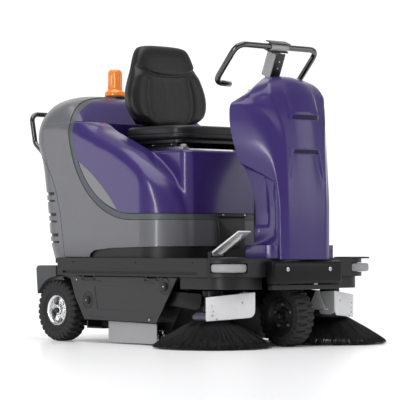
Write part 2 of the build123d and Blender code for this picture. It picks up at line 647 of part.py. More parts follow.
# ---------------------------------------------------------------- dust hopper
bin_back, bin_front = BIN_X
with BuildPart() as dust_hopper:
    block((bin_back, bin_front), (-288, 288), (64, 300))
    block((bin_back + 4, bin_front - 4), (-284, 284), (68, 301), mode=Mode.SUBTRACT)
    block((bin_front - 10, bin_front + 1), (-270, 270), (150, 301), mode=Mode.SUBTRACT)
    block((bin_back, bin_back + 4), (-230, 230), (299, 640))
    for rib_y in (-226, 0, 226):
        block((bin_back - 16, bin_back + 4), (rib_y - 4, rib_y + 4), (450, 636))
export(dust_hopper.part, "dust_hopper")

with BuildPart() as grab_bar:
    with BuildLine() as grab_path:
        FilletPolyline((-606, -300, 782), (-700, -300, 850), (-729, -300, 980), (-729, 300, 980),
                       (-700, 300, 850), (-606, 300, 782), radius=34)
    with BuildSketch(Plane(origin=grab_path.line @ 0, z_dir=grab_path.line % 0)):
        Circle(TUBE_R)
        Circle(TUBE_R - 2.5, mode=Mode.SUBTRACT)
    sweep(path=grab_path.line)
export(grab_bar.part, "grab_bar")

# ---------------------------------------------------------------- side covers and quarter turns
COVER_Y = (386.0, 392.0)
COVER = [(-334, 276), (-300, 190), (-252, 120), (-236, 97), (230, 93), (357, 276)]
KNOBS = ((-215.0, 177.0), (282.0, 240.0))
for side, side_name in ((-1, "right"), (1, "left")):
    with BuildPart() as cover:
        slab(COVER, side * COVER_Y[0], side * COVER_Y[1])
        for hinge_x in COVER_HINGE_X:
            block((hinge_x - 46, hinge_x + 46), (side * 385, side * 393), (262, 280), mode=Mode.SUBTRACT)
            block((hinge_x - 30, hinge_x + 30), (side * 387, side * 391), (258, 270))
            rod((hinge_x - 30, side * COVER_HINGE[0], COVER_HINGE[1]), (1, 0, 0), 5, 60)
            rod((hinge_x - 31, side * COVER_HINGE[0], COVER_HINGE[1]), (1, 0, 0), 2.5 + RUN_FIT, 62,
                mode=Mode.SUBTRACT)
        for knob_x, knob_z in KNOBS:
            rod((knob_x, side * 380, knob_z), (0, side, 0), 6 + RUN_FIT, 20, mode=Mode.SUBTRACT)
        slab([(-170, 240), (180, 236), (120, 140), (-150, 140)], side * 390.5, side * 393, mode=Mode.SUBTRACT)
    export(cover.part, f"side_cover_{side_name}")
    for knob_index, (knob_x, knob_z) in enumerate(KNOBS):
        with BuildPart() as knob:
            rod((knob_x, side * 381, knob_z), (0, side, 0), 6, 11.5)
            rod((knob_x, side * 392.3, knob_z), (0, side, 0), 17, 6)
            block((knob_x - 14, knob_x + 14), (side * 398, side * 402), (knob_z - 3, knob_z + 3))
        knob_place = "rear" if knob_index == 0 else "front"
        export(knob.part, f"cover_knob_{side_name}_{knob_place}")

# ---------------------------------------------------------------- seat
with BuildPart() as seat_rails:
    for side in (-1, 1):
        block((-210, 150), (side * 150, side * 180), (SEAT_DECK_Z + 0.02, 812))
        block((-210, 150), (side * 160, side * 170), (811, 824))
    block((-180, -160), (-160, 160), (SEAT_DECK_Z + 0.02, 808))
    block((100, 120), (-160, 160), (SEAT_DECK_Z + 0.02, 808))
export(seat_rails.part, "seat_rails")

with BuildPart() as seat_base:
    plate((830, 842), rectangle(-200, 150, 205), [30, 40, 40, 30])
    for side in (-1, 1):
        block((-170, 110), (side * 148, side * 157), (816, 831))
        block((-170, 110), (side * 173, side * 182), (816, 831))
    block((-230, -190), (-90, 90), (830, 842))
    slab([(-230, 830), (-222, 830), (-208, 960), (-212, 1080), (-220, 1080), (-216, 960)], -90, 90)
export(seat_base.part, "seat_base")

with BuildPart() as seat_cushion:
    plate((842.02, 902), rectangle(-196, 175, CUSHION_HALF), [60, 80, 80, 60])
    fillet(seat_cushion.edges().group_by(Axis.Z)[-1], 24)
    block((-140, 130), (-135, 135), (894, 910), mode=Mode.SUBTRACT)
export(seat_cushion.part, "seat_cushion")

BACK_PROFILE = [(-206, 913), (-136, 913), (-128, 1000), (-140, 1130), (-172, 1252), (-200, 1261), (-216, 1240),
                (-211.9, 1080), (-207.9, 960)]
with BuildPart() as seat_backrest:
    slab(BACK_PROFILE, -BACK_HALF, BACK_HALF)
    with BuildSketch(Plane.YZ.offset(-300)) as back_face:
        with BuildLine():
            FilletPolyline((-BACK_HALF, 905), (BACK_HALF, 905), (172, 1261.0), (-172, 1261.0),
                           radius=[20, 20, 90, 90], close=True)
        make_face()
    extrude(back_face.sketch, amount=300, mode=Mode.INTERSECT)
export(seat_backrest.part, "seat_backrest")

with BuildPart() as seat_lever:
    rod((60, 183, 823), (0, 1, 0), 5, 40)
    rod((60, 218, 823), (1, 0, -0.12), 6, 60)
export(seat_lever.part, "seat_lever")

# ---------------------------------------------------------------- beacon, panels and power pack
BEACON_X = -517.0
with BuildPart() as beacon_base:
    rod((BEACON_X, 0, 1048), (0, 0, 1), 44, 26)
    add(outer, mode=Mode.SUBTRACT)
export(largest(beacon_base.part), "beacon_base")

with BuildPart() as beacon_lens:
    turned((BEACON_X, 0, 1074.02), (0, 0, 1), [(0, 0), (40, 0), (40, 6), (32, 8), (31, 96), (26, 104), (0, 106),
                                               (0, 100), (24, 98), (27, 92), (27, 4), (0, 4)])
export(beacon_lens.part, "beacon_lens")

with BuildPart() as footwell_panel:
    slab([(275.02, 395), (281, 395), (281, 520), (298, 524), (298, 534), (275.02, 534)], -110, 44)
export(footwell_panel.part, "footwell_panel")

with BuildPart() as battery_pack:
    block((-90, 240), (-240, 240), (356.2, 520))
    for lid_x in (-70, 90):
        block((lid_x, lid_x + 130), (-220, 220), (519, 528))
    for post in ((-40, -180), (-40, 180), (200, -180), (200, 180)):
        rod((post[0], post[1], 519), (0, 0, 1), 8, 24)
    block((-100, 250), (-245, 245), (354.02, 358))
export(battery_pack.part, "battery_pack")

FAN = (-320.0, 0.0)
with BuildPart() as suction_fan:
    rod((FAN[0], FAN[1], 354.02), (0, 0, 1), 110, 90)
    rod((FAN[0], FAN[1], 440), (0, 0, 1), 60, 90)
    block((FAN[0] - 30, FAN[0] + 90), (60, 200), (356, 436))
export(suction_fan.part, "suction_fan")
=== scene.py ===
import math
import random

import bmesh
import bpy
import numpy as np
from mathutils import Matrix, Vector


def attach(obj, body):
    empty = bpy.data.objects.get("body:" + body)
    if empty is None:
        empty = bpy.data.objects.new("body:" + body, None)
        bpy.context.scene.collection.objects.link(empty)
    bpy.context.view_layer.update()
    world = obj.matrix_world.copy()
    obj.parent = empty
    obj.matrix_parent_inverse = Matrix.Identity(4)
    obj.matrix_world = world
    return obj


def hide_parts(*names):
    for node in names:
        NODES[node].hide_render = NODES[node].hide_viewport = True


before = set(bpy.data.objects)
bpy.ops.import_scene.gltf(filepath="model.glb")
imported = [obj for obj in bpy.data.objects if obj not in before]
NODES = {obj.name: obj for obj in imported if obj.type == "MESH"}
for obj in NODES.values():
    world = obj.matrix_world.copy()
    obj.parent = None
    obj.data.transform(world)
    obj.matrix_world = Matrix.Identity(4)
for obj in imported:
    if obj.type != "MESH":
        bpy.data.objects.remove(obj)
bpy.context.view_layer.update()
MM = 0.001
WELD = 0.00004
UP = (0, 0, 1)
SIDES = ((-1, "right"), (1, "left"))
rng = random.Random(11)


# ---- materials
def noise(tree, coords, scale, detail):
    """Noise in object coordinates, scale in ripples per metre."""
    texture = tree.nodes.new("ShaderNodeTexNoise")
    texture.inputs["Scale"].default_value = scale
    texture.inputs["Detail"].default_value = detail
    tree.links.new(coords.outputs["Object"], texture.inputs["Vector"])
    return texture.outputs["Fac"]


def map_range(tree, value, to_min, to_max, from_min=0.0, from_max=1.0, smooth=False):
    """A value carried over from one range to another."""
    node = tree.nodes.new("ShaderNodeMapRange")
    if smooth:
        node.interpolation_type = "SMOOTHSTEP"
    for name, number in (("From Min", from_min), ("From Max", from_max),
                         ("To Min", to_min), ("To Max", to_max)):
        node.inputs[name].default_value = number
    tree.links.new(value, node.inputs["Value"])
    return node.outputs["Result"]


def scaled(tree, amount):
    """A vector scaled by an amount."""
    node = tree.nodes.new("ShaderNodeVectorMath")
    node.operation = "SCALE"
    tree.links.new(amount, node.inputs["Scale"])
    return node


def bump(tree, height, distance, normal):
    """Relief of a height in metres, on top of an earlier normal."""
    node = tree.nodes.new("ShaderNodeBump")
    node.inputs["Strength"].default_value = 1.0
    node.inputs["Distance"].default_value = distance
    tree.links.new(height, node.inputs["Height"])
    if normal:
        tree.links.new(normal, node.inputs["Normal"])
    return node.outputs["Normal"]


def material(name, color, rough=0.4, metal=0.0, coat=0.0, coat_rough=0.05, grain=0.0, grain_scale=300.0,
             wave=0.0, wave_scale=4.0, rough_vary=0.06, tint_vary=0.06, edge=0.0015, spec=0.5,
             transmission=0.0, emission=None):
    """A procedural surface: slight tint and roughness mottling, fine grain and softened edges."""
    mat = bpy.data.materials.new(name)
    mat.use_nodes = True
    tree = mat.node_tree
    nodes, links = tree.nodes, tree.links
    shader = nodes["Principled BSDF"]
    for socket, value in (("Metallic", metal), ("Coat Weight", coat), ("Coat Roughness", coat_rough),
                          ("Specular IOR Level", spec), ("Transmission Weight", transmission)):
        shader.inputs[socket].default_value = value
    if emission:
        shader.inputs["Emission Color"].default_value = (*emission[0], 1)
        shader.inputs["Emission Strength"].default_value = emission[1]
    coords = nodes.new("ShaderNodeTexCoord")
    shade = scaled(tree, map_range(tree, noise(tree, coords, 9.0, 6.0), 1.0 - tint_vary, 1.0 + tint_vary))
    shade.inputs[0].default_value = color
    links.new(shade.outputs["Vector"], shader.inputs["Base Color"])
    roughness = map_range(tree, noise(tree, coords, 38.0, 8.0), max(rough - rough_vary, 0.02),
                          rough + rough_vary)
    links.new(roughness, shader.inputs["Roughness"])
    normal = None
    if edge:
        bevel = nodes.new("ShaderNodeBevel")
        bevel.samples = 4
        bevel.inputs["Radius"].default_value = edge
        normal = bevel.outputs["Normal"]
    if wave:
        normal = bump(tree, noise(tree, coords, wave_scale, 1.0), wave, normal)
    if grain:
        normal = bump(tree, noise(tree, coords, grain_scale, 3.0), grain, normal)
    if normal:
        links.new(normal, shader.inputs["Normal"])
        if coat and edge and not wave and not grain:
            links.new(normal, shader.inputs["Coat Normal"])
    return mat


VIOLET = material("violet_gloss", (0.030, 0.014, 0.118), rough=0.34, coat=0.55, coat_rough=0.16, spec=0.3,
                  tint_vary=0.05, wave=0.0004, wave_scale=3.0)
# painted shade: dark violet put on the downward-facing faces of the column's front ledges
VIOLET_PAINTED_SHADE = material("violet_painted_shade", (0.014, 0.009, 0.045), rough=0.55, spec=0.2, grain=0.00003)
# its colour later gets painted shade toward the front
GREY = material("grey_moulding", (0.107, 0.108, 0.120), rough=0.42, coat=0.35, coat_rough=0.14, grain=0.00002,
                grain_scale=420)
BAND = material("band_grey", (0.066, 0.076, 0.082), rough=0.45, grain=0.00003, grain_scale=420)
PALE_PANEL = material("pale_insert", (0.175, 0.175, 0.18), rough=0.42, coat=0.15, coat_rough=0.25,
                      grain=0.00003)
BLACK = material("black_moulding", (0.008, 0.008, 0.009), rough=0.44, spec=0.4, grain=0.00005,
                 grain_scale=350, edge=0.002)
BUMPER_BLACK = material("bumper_black", (0.003, 0.003, 0.003), rough=0.34, spec=0.22, grain=0.00004,
                        grain_scale=350)
DISC_PLASTIC = material("disc_plastic", (0.060, 0.056, 0.088), rough=0.42, grain=0.00003)
STEM_GREY = material("stem_grey", (0.34, 0.34, 0.35), rough=0.40, metal=0.3, grain=0.00003)
HUB_BLACK = material("hub_black", (0.012, 0.012, 0.013), rough=0.38, grain=0.00003)
FENDER_GREY = material("fender_grey", (0.042, 0.043, 0.052), rough=0.44, grain=0.00004, grain_scale=350)
DARK = material("dark_grey_moulding", (0.018, 0.018, 0.020), rough=0.46, grain=0.00005, grain_scale=350)
FRAME_PAINT = material("frame_paint", (0.012, 0.012, 0.013), rough=0.36, spec=0.4, grain=0.00004,
                       grain_scale=160)
PALE_STEEL = material("pale_steel", (0.62, 0.62, 0.64), rough=0.34, metal=0.55, rough_vary=0.10, edge=0.0006)
WHITE_PAINT = material("white_paint", (0.80, 0.80, 0.81), rough=0.30, coat=0.3, edge=0.0008)
RUBBER_FLAP = material("grey_flap", (0.36, 0.36, 0.37), rough=0.48, metal=0.15, grain=0.00004,
                       grain_scale=180)
TYRE = material("tyre_rubber", (0.011, 0.011, 0.011), rough=0.62, spec=0.4, grain=0.00012, grain_scale=240,
                tint_vary=0.2)
CHROME = material("bright_rim", (0.74, 0.74, 0.75), rough=0.24, metal=1.0, rough_vary=0.05, edge=0.0008)
STEEL = material("steel", (0.55, 0.55, 0.56), rough=0.28, metal=1.0, rough_vary=0.1, edge=0.0006)
GLOSS_TUBE = material("gloss_black_tube", (0.012, 0.012, 0.013), rough=0.14, coat=1.0, coat_rough=0.04,
                      edge=0.0, rough_vary=0.03)
VINYL = material("black_vinyl", (0.009, 0.009, 0.010), rough=0.40, spec=0.40, grain=0.00022,
                 grain_scale=520, edge=0.0, rough_vary=0.08)
VINYL_SIDE = material("grey_vinyl", (0.034, 0.034, 0.037), rough=0.42, grain=0.00022, grain_scale=520,
                      edge=0.0)
BRISTLE = material("bristle", (0.006, 0.006, 0.007), rough=0.50, spec=0.35, edge=0.0, tint_vary=0.35)
GUARD_GREY = material("guard_grey", (0.74, 0.74, 0.75), rough=0.36, metal=0.2, coat=0.2, edge=0.0008)
FORK_GREY = material("fork_grey", (0.20, 0.20, 0.21), rough=0.4, metal=0.3, grain=0.00003)
ROLLER_MAT = material("roller_plastic", (0.30, 0.30, 0.31), rough=0.48, grain=0.00004)
ORANGE = material("orange_lens", (0.86, 0.27, 0.025), rough=0.12, coat=0.6, transmission=0.30, edge=0.0005,
                  emission=((1.0, 0.34, 0.03), 0.14))
RED = material("red_button", (0.55, 0.015, 0.012), rough=0.25, coat=0.5)

CAD_LOOKS = (
    (VIOLET, "hood_shell steering_column"), (GREY, "body_shell rear_door"), (BAND, "arch_band"),
    (DARK, "console footwell_panel suction_fan side_cover_right side_cover_left"),
    (BLACK, "column_cover bumper_rail rail_skirt front_bumper platform beacon_base battery_pack dust_hopper"),
    (BLACK, "main_brush_core horn_button cover_knob_right_rear cover_knob_right_front"),
    (BLACK, "cover_knob_left_rear cover_knob_left_front"),
    (FRAME_PAINT, "chassis_frame brush_chamber bar_clamp front_rim brake_pedal seat_base seat_lever"),
    (RUBBER_FLAP, "side_skirts"), (FENDER_GREY, "rear_fenders"), (ORANGE, "beacon_lens"),
    (FORK_GREY, "front_fork"), (STEM_GREY, "steering_stem"), (GLOSS_TUBE, "handlebar grab_bar"),
    (TYRE, "front_tyre rear_tyre_right rear_tyre_left"), (CHROME, "rear_rim_right rear_rim_left"),
    (BRISTLE, "main_brush_bristles side_brush_bristles_right side_brush_bristles_left"),
    (PALE_STEEL, "side_brush_arm_right side_brush_arm_left"),
    (DISC_PLASTIC, "side_brush_disc_right side_brush_disc_left"),
    (ROLLER_MAT, "bumper_roller_right bumper_roller_left"), (WHITE_PAINT, "accelerator_pedal"),
    (STEEL, "seat_rails key_switch"), (VINYL, "seat_cushion seat_backrest"), (RED, "stop_button"),
)
for look, node_names in CAD_LOOKS:
    for node_name in node_names.split():
        materials = NODES[node_name].data.materials
        materials.clear()
        materials.append(look)


# ---- mesh helpers
def mesh_object(name, verts, faces, mat, smooth=False):
    """A mesh from metre coordinates."""
    mesh = bpy.data.meshes.new(name)
    mesh.from_pydata([tuple(v) for v in verts], [], [tuple(f) for f in faces])
    mesh.update()
    obj = bpy.data.objects.new(name, mesh)
    bpy.context.collection.objects.link(obj)
    mesh.materials.append(mat)
    if smooth:
        mesh.shade_smooth()
        mesh.set_sharp_from_angle(angle=math.radians(35))
    return obj


def apply_modifiers(obj):
    """Bakes an object's modifiers into its mesh."""
    depsgraph = bpy.context.evaluated_depsgraph_get()
    evaluated = obj.evaluated_get(depsgraph)
    mesh = bpy.data.meshes.new_from_object(evaluated)
    old = obj.data
    obj.modifiers.clear()
    obj.data = mesh
    bpy.data.meshes.remove(old)


def boolean(obj, cutter, operation="DIFFERENCE", solver="MANIFOLD"):
    """Cuts an object and keeps the cutter."""
    modifier = obj.modifiers.new("cut", "BOOLEAN")
    modifier.operation = operation
    modifier.solver = solver
    modifier.object = cutter
    apply_modifiers(obj)


def remove(obj):
    """Deletes an object and the mesh that only it used."""
    mesh = obj.data
    bpy.data.objects.remove(obj)
    if mesh.users == 0:
        bpy.data.meshes.remove(mesh)


def cut(obj, cutter, operation="DIFFERENCE", solver="MANIFOLD"):
    """A boolean whose cutter isn't needed again."""
    boolean(obj, cutter, operation, solver)
    remove(cutter)


def fix_normals(obj, weld=0.0):
    """Faces outward, after joining corners closer than weld."""
    work = bmesh.new()
    work.from_mesh(obj.data)
    if weld:
        bmesh.ops.remove_doubles(work, verts=work.verts, dist=weld)
    bmesh.ops.recalc_face_normals(work, faces=work.faces)
    work.to_mesh(obj.data)
    work.free()


def prism(points, low=-600, high=600, name="cutter", plan=False):
    """A closed outline in millimetres, (x, z) or in plan (x, y), extruded from low to high."""
    count = len(points)
    corners = [(a, b, level) if plan else (a, level, b) for level in (low, high) for a, b in points]
    faces = [tuple(range(count)), tuple(range(2 * count - 1, count - 1, -1))]
    faces += [(i, i + count, (i + 1) % count + count, (i + 1) % count) for i in range(count)]
    obj = mesh_object(name, [(x * MM, y * MM, z * MM) for x, y, z in corners], faces, GREY)
    fix_normals(obj)
    return obj


def paint_shade_forward(mat, x_from, x_to, low):
    """Painted shade: lets a shell's colour fall off toward the front along x."""
    tree = mat.node_tree
    nodes, links = tree.nodes, tree.links
    base_color = nodes["Principled BSDF"].inputs["Base Color"]
    source = base_color.links[0].from_socket
    coords = nodes.new("ShaderNodeTexCoord")
    split = nodes.new("ShaderNodeSeparateXYZ")
    links.new(coords.outputs["Object"], split.inputs["Vector"])
    scale = scaled(tree, map_range(tree, split.outputs["X"], 1.0, low, x_from, x_to, smooth=True))
    links.new(source, scale.inputs[0])
    links.new(scale.outputs["Vector"], base_color)


def finish_piece(obj, name, mat, body, angle=35.0):
    """Names a piece, gives it its material and lets it ride on its body."""
    obj.name = name
    obj.data.materials.clear()
    obj.data.materials.append(mat)
    obj.data.shade_smooth()
    obj.data.set_sharp_from_angle(angle=math.radians(angle))
    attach(obj, body)
    return obj


# ---- shape helpers (millimetres)
def loop_faces(rows, count, closed=True):
    """Quads between rows of count corners each, every row a closed loop."""
    faces = []
    last = rows if closed else rows - 1
    for r in range(last):
        n = (r + 1) % rows
        faces += [(r * count + i, r * count + (i + 1) % count, n * count + (i + 1) % count, n * count + i)
                  for i in range(count)]
    return faces


def lathe(centre, axis, profile, segments=48, wobble=None):
    """A closed ring of (radius, distance along the axis) corners turned about an axis."""
    axis = Vector(axis).normalized()
    side = Vector((1, 0, 0)) if abs(axis.x) < 0.9 else Vector((0, 1, 0))
    side = (side - axis * side.dot(axis)).normalized()
    other = axis.cross(side)
    verts = []
    for s in range(segments):
        turn = 2 * math.pi * s / segments
        radial = side * math.cos(turn) + other * math.sin(turn)
        for radius, along in profile:
            if wobble:
                radius, along = wobble(radius, along, turn)
            verts.append(Vector(centre) + radial * radius + axis * along)
    return verts, loop_faces(segments, len(profile))


def box(x, y, z):
    """A block between pairs of x, y and z."""
    verts = [Vector((a, b, c)) for a in sorted(x) for b in sorted(y) for c in sorted(z)]
    return verts, [(0, 1, 3, 2), (4, 6, 7, 5), (0, 4, 5, 1), (2, 3, 7, 6), (0, 2, 6, 4), (1, 5, 7, 3)]


def outline_solid(origin, u, v, points, depth):
    """An outline in the plane u, v through origin, extruded by depth along u x v."""
    origin, u, v = Vector(origin), Vector(u).normalized(), Vector(v).normalized()
    w = u.cross(v)
    count = len(points)
    low = [origin + u * a + v * b for a, b in points]
    verts = low + [p + w * depth for p in low]
    faces = [tuple(range(count - 1, -1, -1)), tuple(range(count, 2 * count))]
    faces += [(i, (i + 1) % count, (i + 1) % count + count, i + count) for i in range(count)]
    return verts, faces


def side_plate(y, points, thick):
    """An upright plate along x, centred on y, from an (x, z) outline."""
    return outline_solid((0, y + thick / 2, 0), (1, 0, 0), UP, points, thick)


def rounded(points, radii, steps=5):
    """A closed outline with its corners rounded."""
    out = []
    count = len(points)
    for i, (px, py) in enumerate(points):
        radius = radii[i] if isinstance(radii, (list, tuple)) else radii
        here, before, after = Vector((px, py)), Vector(points[i - 1]), Vector(points[(i + 1) % count])
        a, b = (before - here), (after - here)
        half = a.angle(b) / 2
        reach = min(radius / math.tan(half), a.length * 0.49, b.length * 0.49)
        start, end = here + a.normalized() * reach, here + b.normalized() * reach
        for t in np.linspace(0, 1, steps):
            out.append(tuple(start * (1 - t) ** 2 + here * 2 * t * (1 - t) + end * t * t))
    return out


def rounded_path(points, radius, steps=8):
    """An open path with its bends rounded."""
    points = [Vector(p) for p in points]
    out = [points[0]]
    for i in range(1, len(points) - 1):
        a, b = points[i - 1] - points[i], points[i + 1] - points[i]
        reach = min(radius, a.length * 0.48, b.length * 0.48)
        start, end = points[i] + a.normalized() * reach, points[i] + b.normalized() * reach
        for t in np.linspace(0, 1, steps):
            out.append(start * (1 - t) ** 2 + points[i] * 2 * t * (1 - t) + end * t * t)
    return out + [points[-1]]


def tube(points, radius, sides=16, bend=0.0):
    """A round bar along a path, its ends rounded over."""
    path = rounded_path(points, bend) if bend else [Vector(p) for p in points]
    rings = [(path[0], radius * 0.7), *[(p, radius) for p in path], (path[-1], radius * 0.7)]
    last = len(path) - 1
    tangents = [(path[min(i + 1, last)] - path[max(i - 1, 0)]).normalized() for i in range(last + 1)]
    tangents = [tangents[0], *tangents, tangents[-1]]
    up = tangents[0].orthogonal().normalized()
    verts = []
    for k, ((point, r), tangent) in enumerate(zip(rings, tangents)):
        up = (up - tangent * up.dot(tangent)).normalized()
        side = tangent.cross(up)
        push = -radius * 0.3 if k == 0 else (radius * 0.3 if k == len(rings) - 1 else 0)
        for s in range(sides):
            turn = 2 * math.pi * s / sides
            verts.append(point + tangent * push + (up * math.cos(turn) + side * math.sin(turn)) * r)
    faces = loop_faces(len(rings), sides, closed=False)
    faces += [tuple(range(sides)), tuple(range(len(verts) - 1, len(verts) - sides - 1, -1))]
    return verts, faces


def head(point, axis, radius, height):
    """A pan-head screw with a round socket."""
    socket = [(radius * 0.42, height * 0.35), (radius * 0.42, height)]
    profile = [(0.01, -height), (radius, -height), (radius, height * 0.45), (radius * 0.86, height * 0.85),
               (radius * 0.62, height), *reversed(socket), (0.01, height * 0.35)]
    return lathe(point, axis, profile, 24)


def build(name, shapes, mat, body, bevel=0.0, angle=32.0, weld=True):
    """One object from several shapes in millimetres."""
    verts, faces = [], []
    for shape_verts, shape_faces in shapes:
        base = len(verts)
        verts += [(p[0] * MM, p[1] * MM, p[2] * MM) for p in shape_verts]
        faces += [tuple(i + base for i in f) for f in shape_faces]
    obj = mesh_object(name, verts, faces, mat)
    fix_normals(obj, WELD if weld else 0.0)
    if bevel:
        modifier = obj.modifiers.new("edge", "BEVEL")
        modifier.width = bevel * MM
        modifier.segments = 3
        modifier.limit_method = "ANGLE"
        modifier.angle_limit = math.radians(28)
        apply_modifiers(obj)
    return finish_piece(obj, name, mat, body, angle)


def step_up(value, low, high):
    """A smooth step from 0 at low to 1 at high."""
    t = np.clip((value - low) / (high - low), 0, 1)
    return t * t * (3 - 2 * t)


# ---- bodywork as a distance field
def smooth_max(a, b, k):
    """The larger of two distances, blended over k."""
    h = np.maximum(k - np.abs(a - b), 0.0) / k
    return np.maximum(a, b) + h * h * k * 0.25


def smooth_min(a, b, k):
    """The smaller of two distances, blended over k."""
    return -smooth_max(-a, -b, k)


def hermite(t, span, values, slopes, i):
    """A cubic from values[i] to values[i + 1], t of the way across a span, with the slopes at its ends."""
    t2, t3 = t * t, t * t * t
    return ((2 * t3 - 3 * t2 + 1) * values[i] + (t3 - 2 * t2 + t) * span * slopes[i]
            + (3 * t2 - 2 * t3) * values[i + 1] + (t3 - t2) * span * slopes[i + 1])


def spline(table, column, z):
    """Catmull-Rom through a table's column, evaluated at z."""
    zs = np.array([row[0] for row in table], float)
    vs = np.array([row[column] for row in table], float)
    slopes = np.gradient(vs, zs)
    zc = np.clip(z, zs[0], zs[-1])
    i = np.clip(np.searchsorted(zs, zc) - 1, 0, len(zs) - 2)
    span = zs[i + 1] - zs[i]
    return hermite((zc - zs[i]) / span, span, vs, slopes, i)


def rounded_plan(x, y, back, front, half, r_back, r_front):
    """Signed distance to a rectangle in plan with its own rear and front corner radii."""
    radius = np.where(x > (back + front) / 2, r_front, r_back)
    qx = np.abs(x - (back + front) / 2) - (front - back) / 2 + radius
    qy = np.abs(y) - half + radius
    return np.minimum(np.maximum(qx, qy), 0) + np.hypot(np.maximum(qx, 0), np.maximum(qy, 0)) - radius


# height, rear x, front x, half width, rear corner radius
WALLS = [(340, -514, 275, 390, 118), (410, -541, 275, 392, 120), (535, -562, 275, 392, 120),
         (650, -580, 272, 392, 120), (780, -610, 264, 392, 122), (830, -634, 262, 392, 126),
         (880, -640, 262, 392, 130), (930, -632, 262, 390, 134), (1000, -618, 262, 384, 136),
         (1070, -606, 262, 378, 136)]
# height, x of the hood's sloping front edge
FENDER = [(300, 290), (500, 288), (560, 276), (638, 234), (712, 164), (770, 84), (826, -26), (872, -166),
          (905, -330), (925, -520)]


def body_field(x, y, z):
    """Signed distance to hood and rear body as one form, with the seat's recess in it."""
    wall = rounded_plan(x, y, spline(WALLS, 1, z), spline(WALLS, 2, z), spline(WALLS, 3, z),
                        spline(WALLS, 4, z), 165.0)
    fender_x = spline(FENDER, 1, z)
    slope = (spline(FENDER, 1, z + 2) - spline(FENDER, 1, z - 2)) / 4
    fender = smooth_max((x - fender_x) / np.sqrt(1 + slope * slope), z - 918.0, 30.0)
    crown = z - (1062.0 - 0.00050 * np.square(x + 400) - 0.0000000050 * np.square(np.square(y)))
    front_fall = (x + 440 + 0.9 * (z - 1060)) / 1.345
    top = smooth_min(fender, smooth_max(crown, front_fall, 70.0), 150.0)
    shell = smooth_max(wall, top, 78.0)
    seat_box = rounded_plan(x, y, -300.0, 268.0, 262.0, 40.0, 46.0)
    seat_box = smooth_max(seat_box, z - 800.0, 16.0)
    shape = smooth_min(shell, seat_box, 8.0)
    recess = rounded_plan(x, y, -302.0, 900.0, 250.0, 45.0, 45.0)
    recess = smooth_max(recess, 800.0 - z, 20.0)
    return smooth_max(shape, -recess, 22.0)


def surface_nets(field, low, high, step, level=0.0):
    """A closed quad mesh of field = level, its vertices moved onto the surface by Newton steps."""
    axes = [np.arange(low[i], high[i] + step, step) for i in range(3)]
    gx, gy, gz = np.meshgrid(*axes, indexing="ij")
    values = (field(gx, gy, gz) - level).astype(np.float32)
    inside = values < 0
    nx, ny, nz = values.shape
    total = np.zeros((nx - 1, ny - 1, nz - 1, 3), np.float32)
    hits = np.zeros((nx - 1, ny - 1, nz - 1), np.float32)
    for axis in range(3):
        for da in (0, 1):
            for db in (0, 1):
                other = [a for a in range(3) if a != axis]
                start = [slice(0, -1)] * 3
                end = [slice(0, -1)] * 3
                offset = [0, 0, 0]
                for o, d in zip(other, (da, db)):
                    offset[o] = d
                    start[o] = slice(d, values.shape[o] - 1 + d)
                    end[o] = slice(d, values.shape[o] - 1 + d)
                end[axis] = slice(1, None)
                a, b = values[tuple(start)], values[tuple(end)]
                crossing = (a < 0) != (b < 0)
                t = np.where(crossing, a / np.where(crossing, a - b, 1), 0)
                for k in range(3):
                    total[..., k] += np.where(crossing, t if k == axis else offset[k], 0)
                hits += crossing
    active = hits > 0
    index = -np.ones(active.shape, np.int64)
    index[active] = np.arange(active.sum())
    cells = np.argwhere(active)
    points = (cells + total[active] / hits[active][:, None]) * step + np.array(low)
    eps = 0.5
    for _ in range(3):
        px, py, pz = points.T
        value = field(px, py, pz) - level
        grad = np.stack([field(px + eps, py, pz) - field(px - eps, py, pz),
                         field(px, py + eps, pz) - field(px, py - eps, pz),
                         field(px, py, pz + eps) - field(px, py, pz - eps)], 1) / (2 * eps)
        move = grad * (value / np.maximum((grad * grad).sum(1), 0.05))[:, None]
        length = np.linalg.norm(move, axis=1)
        points -= move * np.minimum(1, step * 0.6 / np.maximum(length, 1e-9))[:, None]
    quads = []
    for axis in range(3):
        u, v = [a for a in range(3) if a != axis]
        lo = [slice(1, -1)] * 3
        hi = [slice(1, -1)] * 3
        lo[axis], hi[axis] = slice(0, -1), slice(1, None)
        a, b = inside[tuple(lo)], inside[tuple(hi)]
        crossing = a != b
        where = np.argwhere(crossing)
        base = where.copy()
        base[:, u] += 1
        base[:, v] += 1
        corner = []
        for du, dv in ((-1, -1), (0, -1), (0, 0), (-1, 0)):
            cell = base.copy()
            cell[:, u] += du
            cell[:, v] += dv
            corner.append(index[cell[:, 0], cell[:, 1], cell[:, 2]])
        quad = np.stack(corner, 1)
        flip = a[crossing] if axis != 1 else ~a[crossing]
        quad[~flip] = quad[~flip][:, ::-1]
        quads.append(quad)
    return points, np.concatenate(quads)


def hull(level, step, name, floor_z):
    """The body surface at a distance from the nominal one, cut flat at floor_z below."""
    def field(x, y, z):
        return np.maximum(body_field(x, y, z) - level, floor_z - z)
    low, high = (-664.0, -420.0, floor_z - 13.0), (308.0, 420.0, 1092.0)
    points, quads = surface_nets(field, low, high, step)
    return mesh_object(name, points * MM, quads, VIOLET, smooth=True)


ARCH_X, ARCH_Z, ARCH_R, ARCH_BOW, BAND_W = 70.0, 930.0, 395.0, 125.0, 26.0


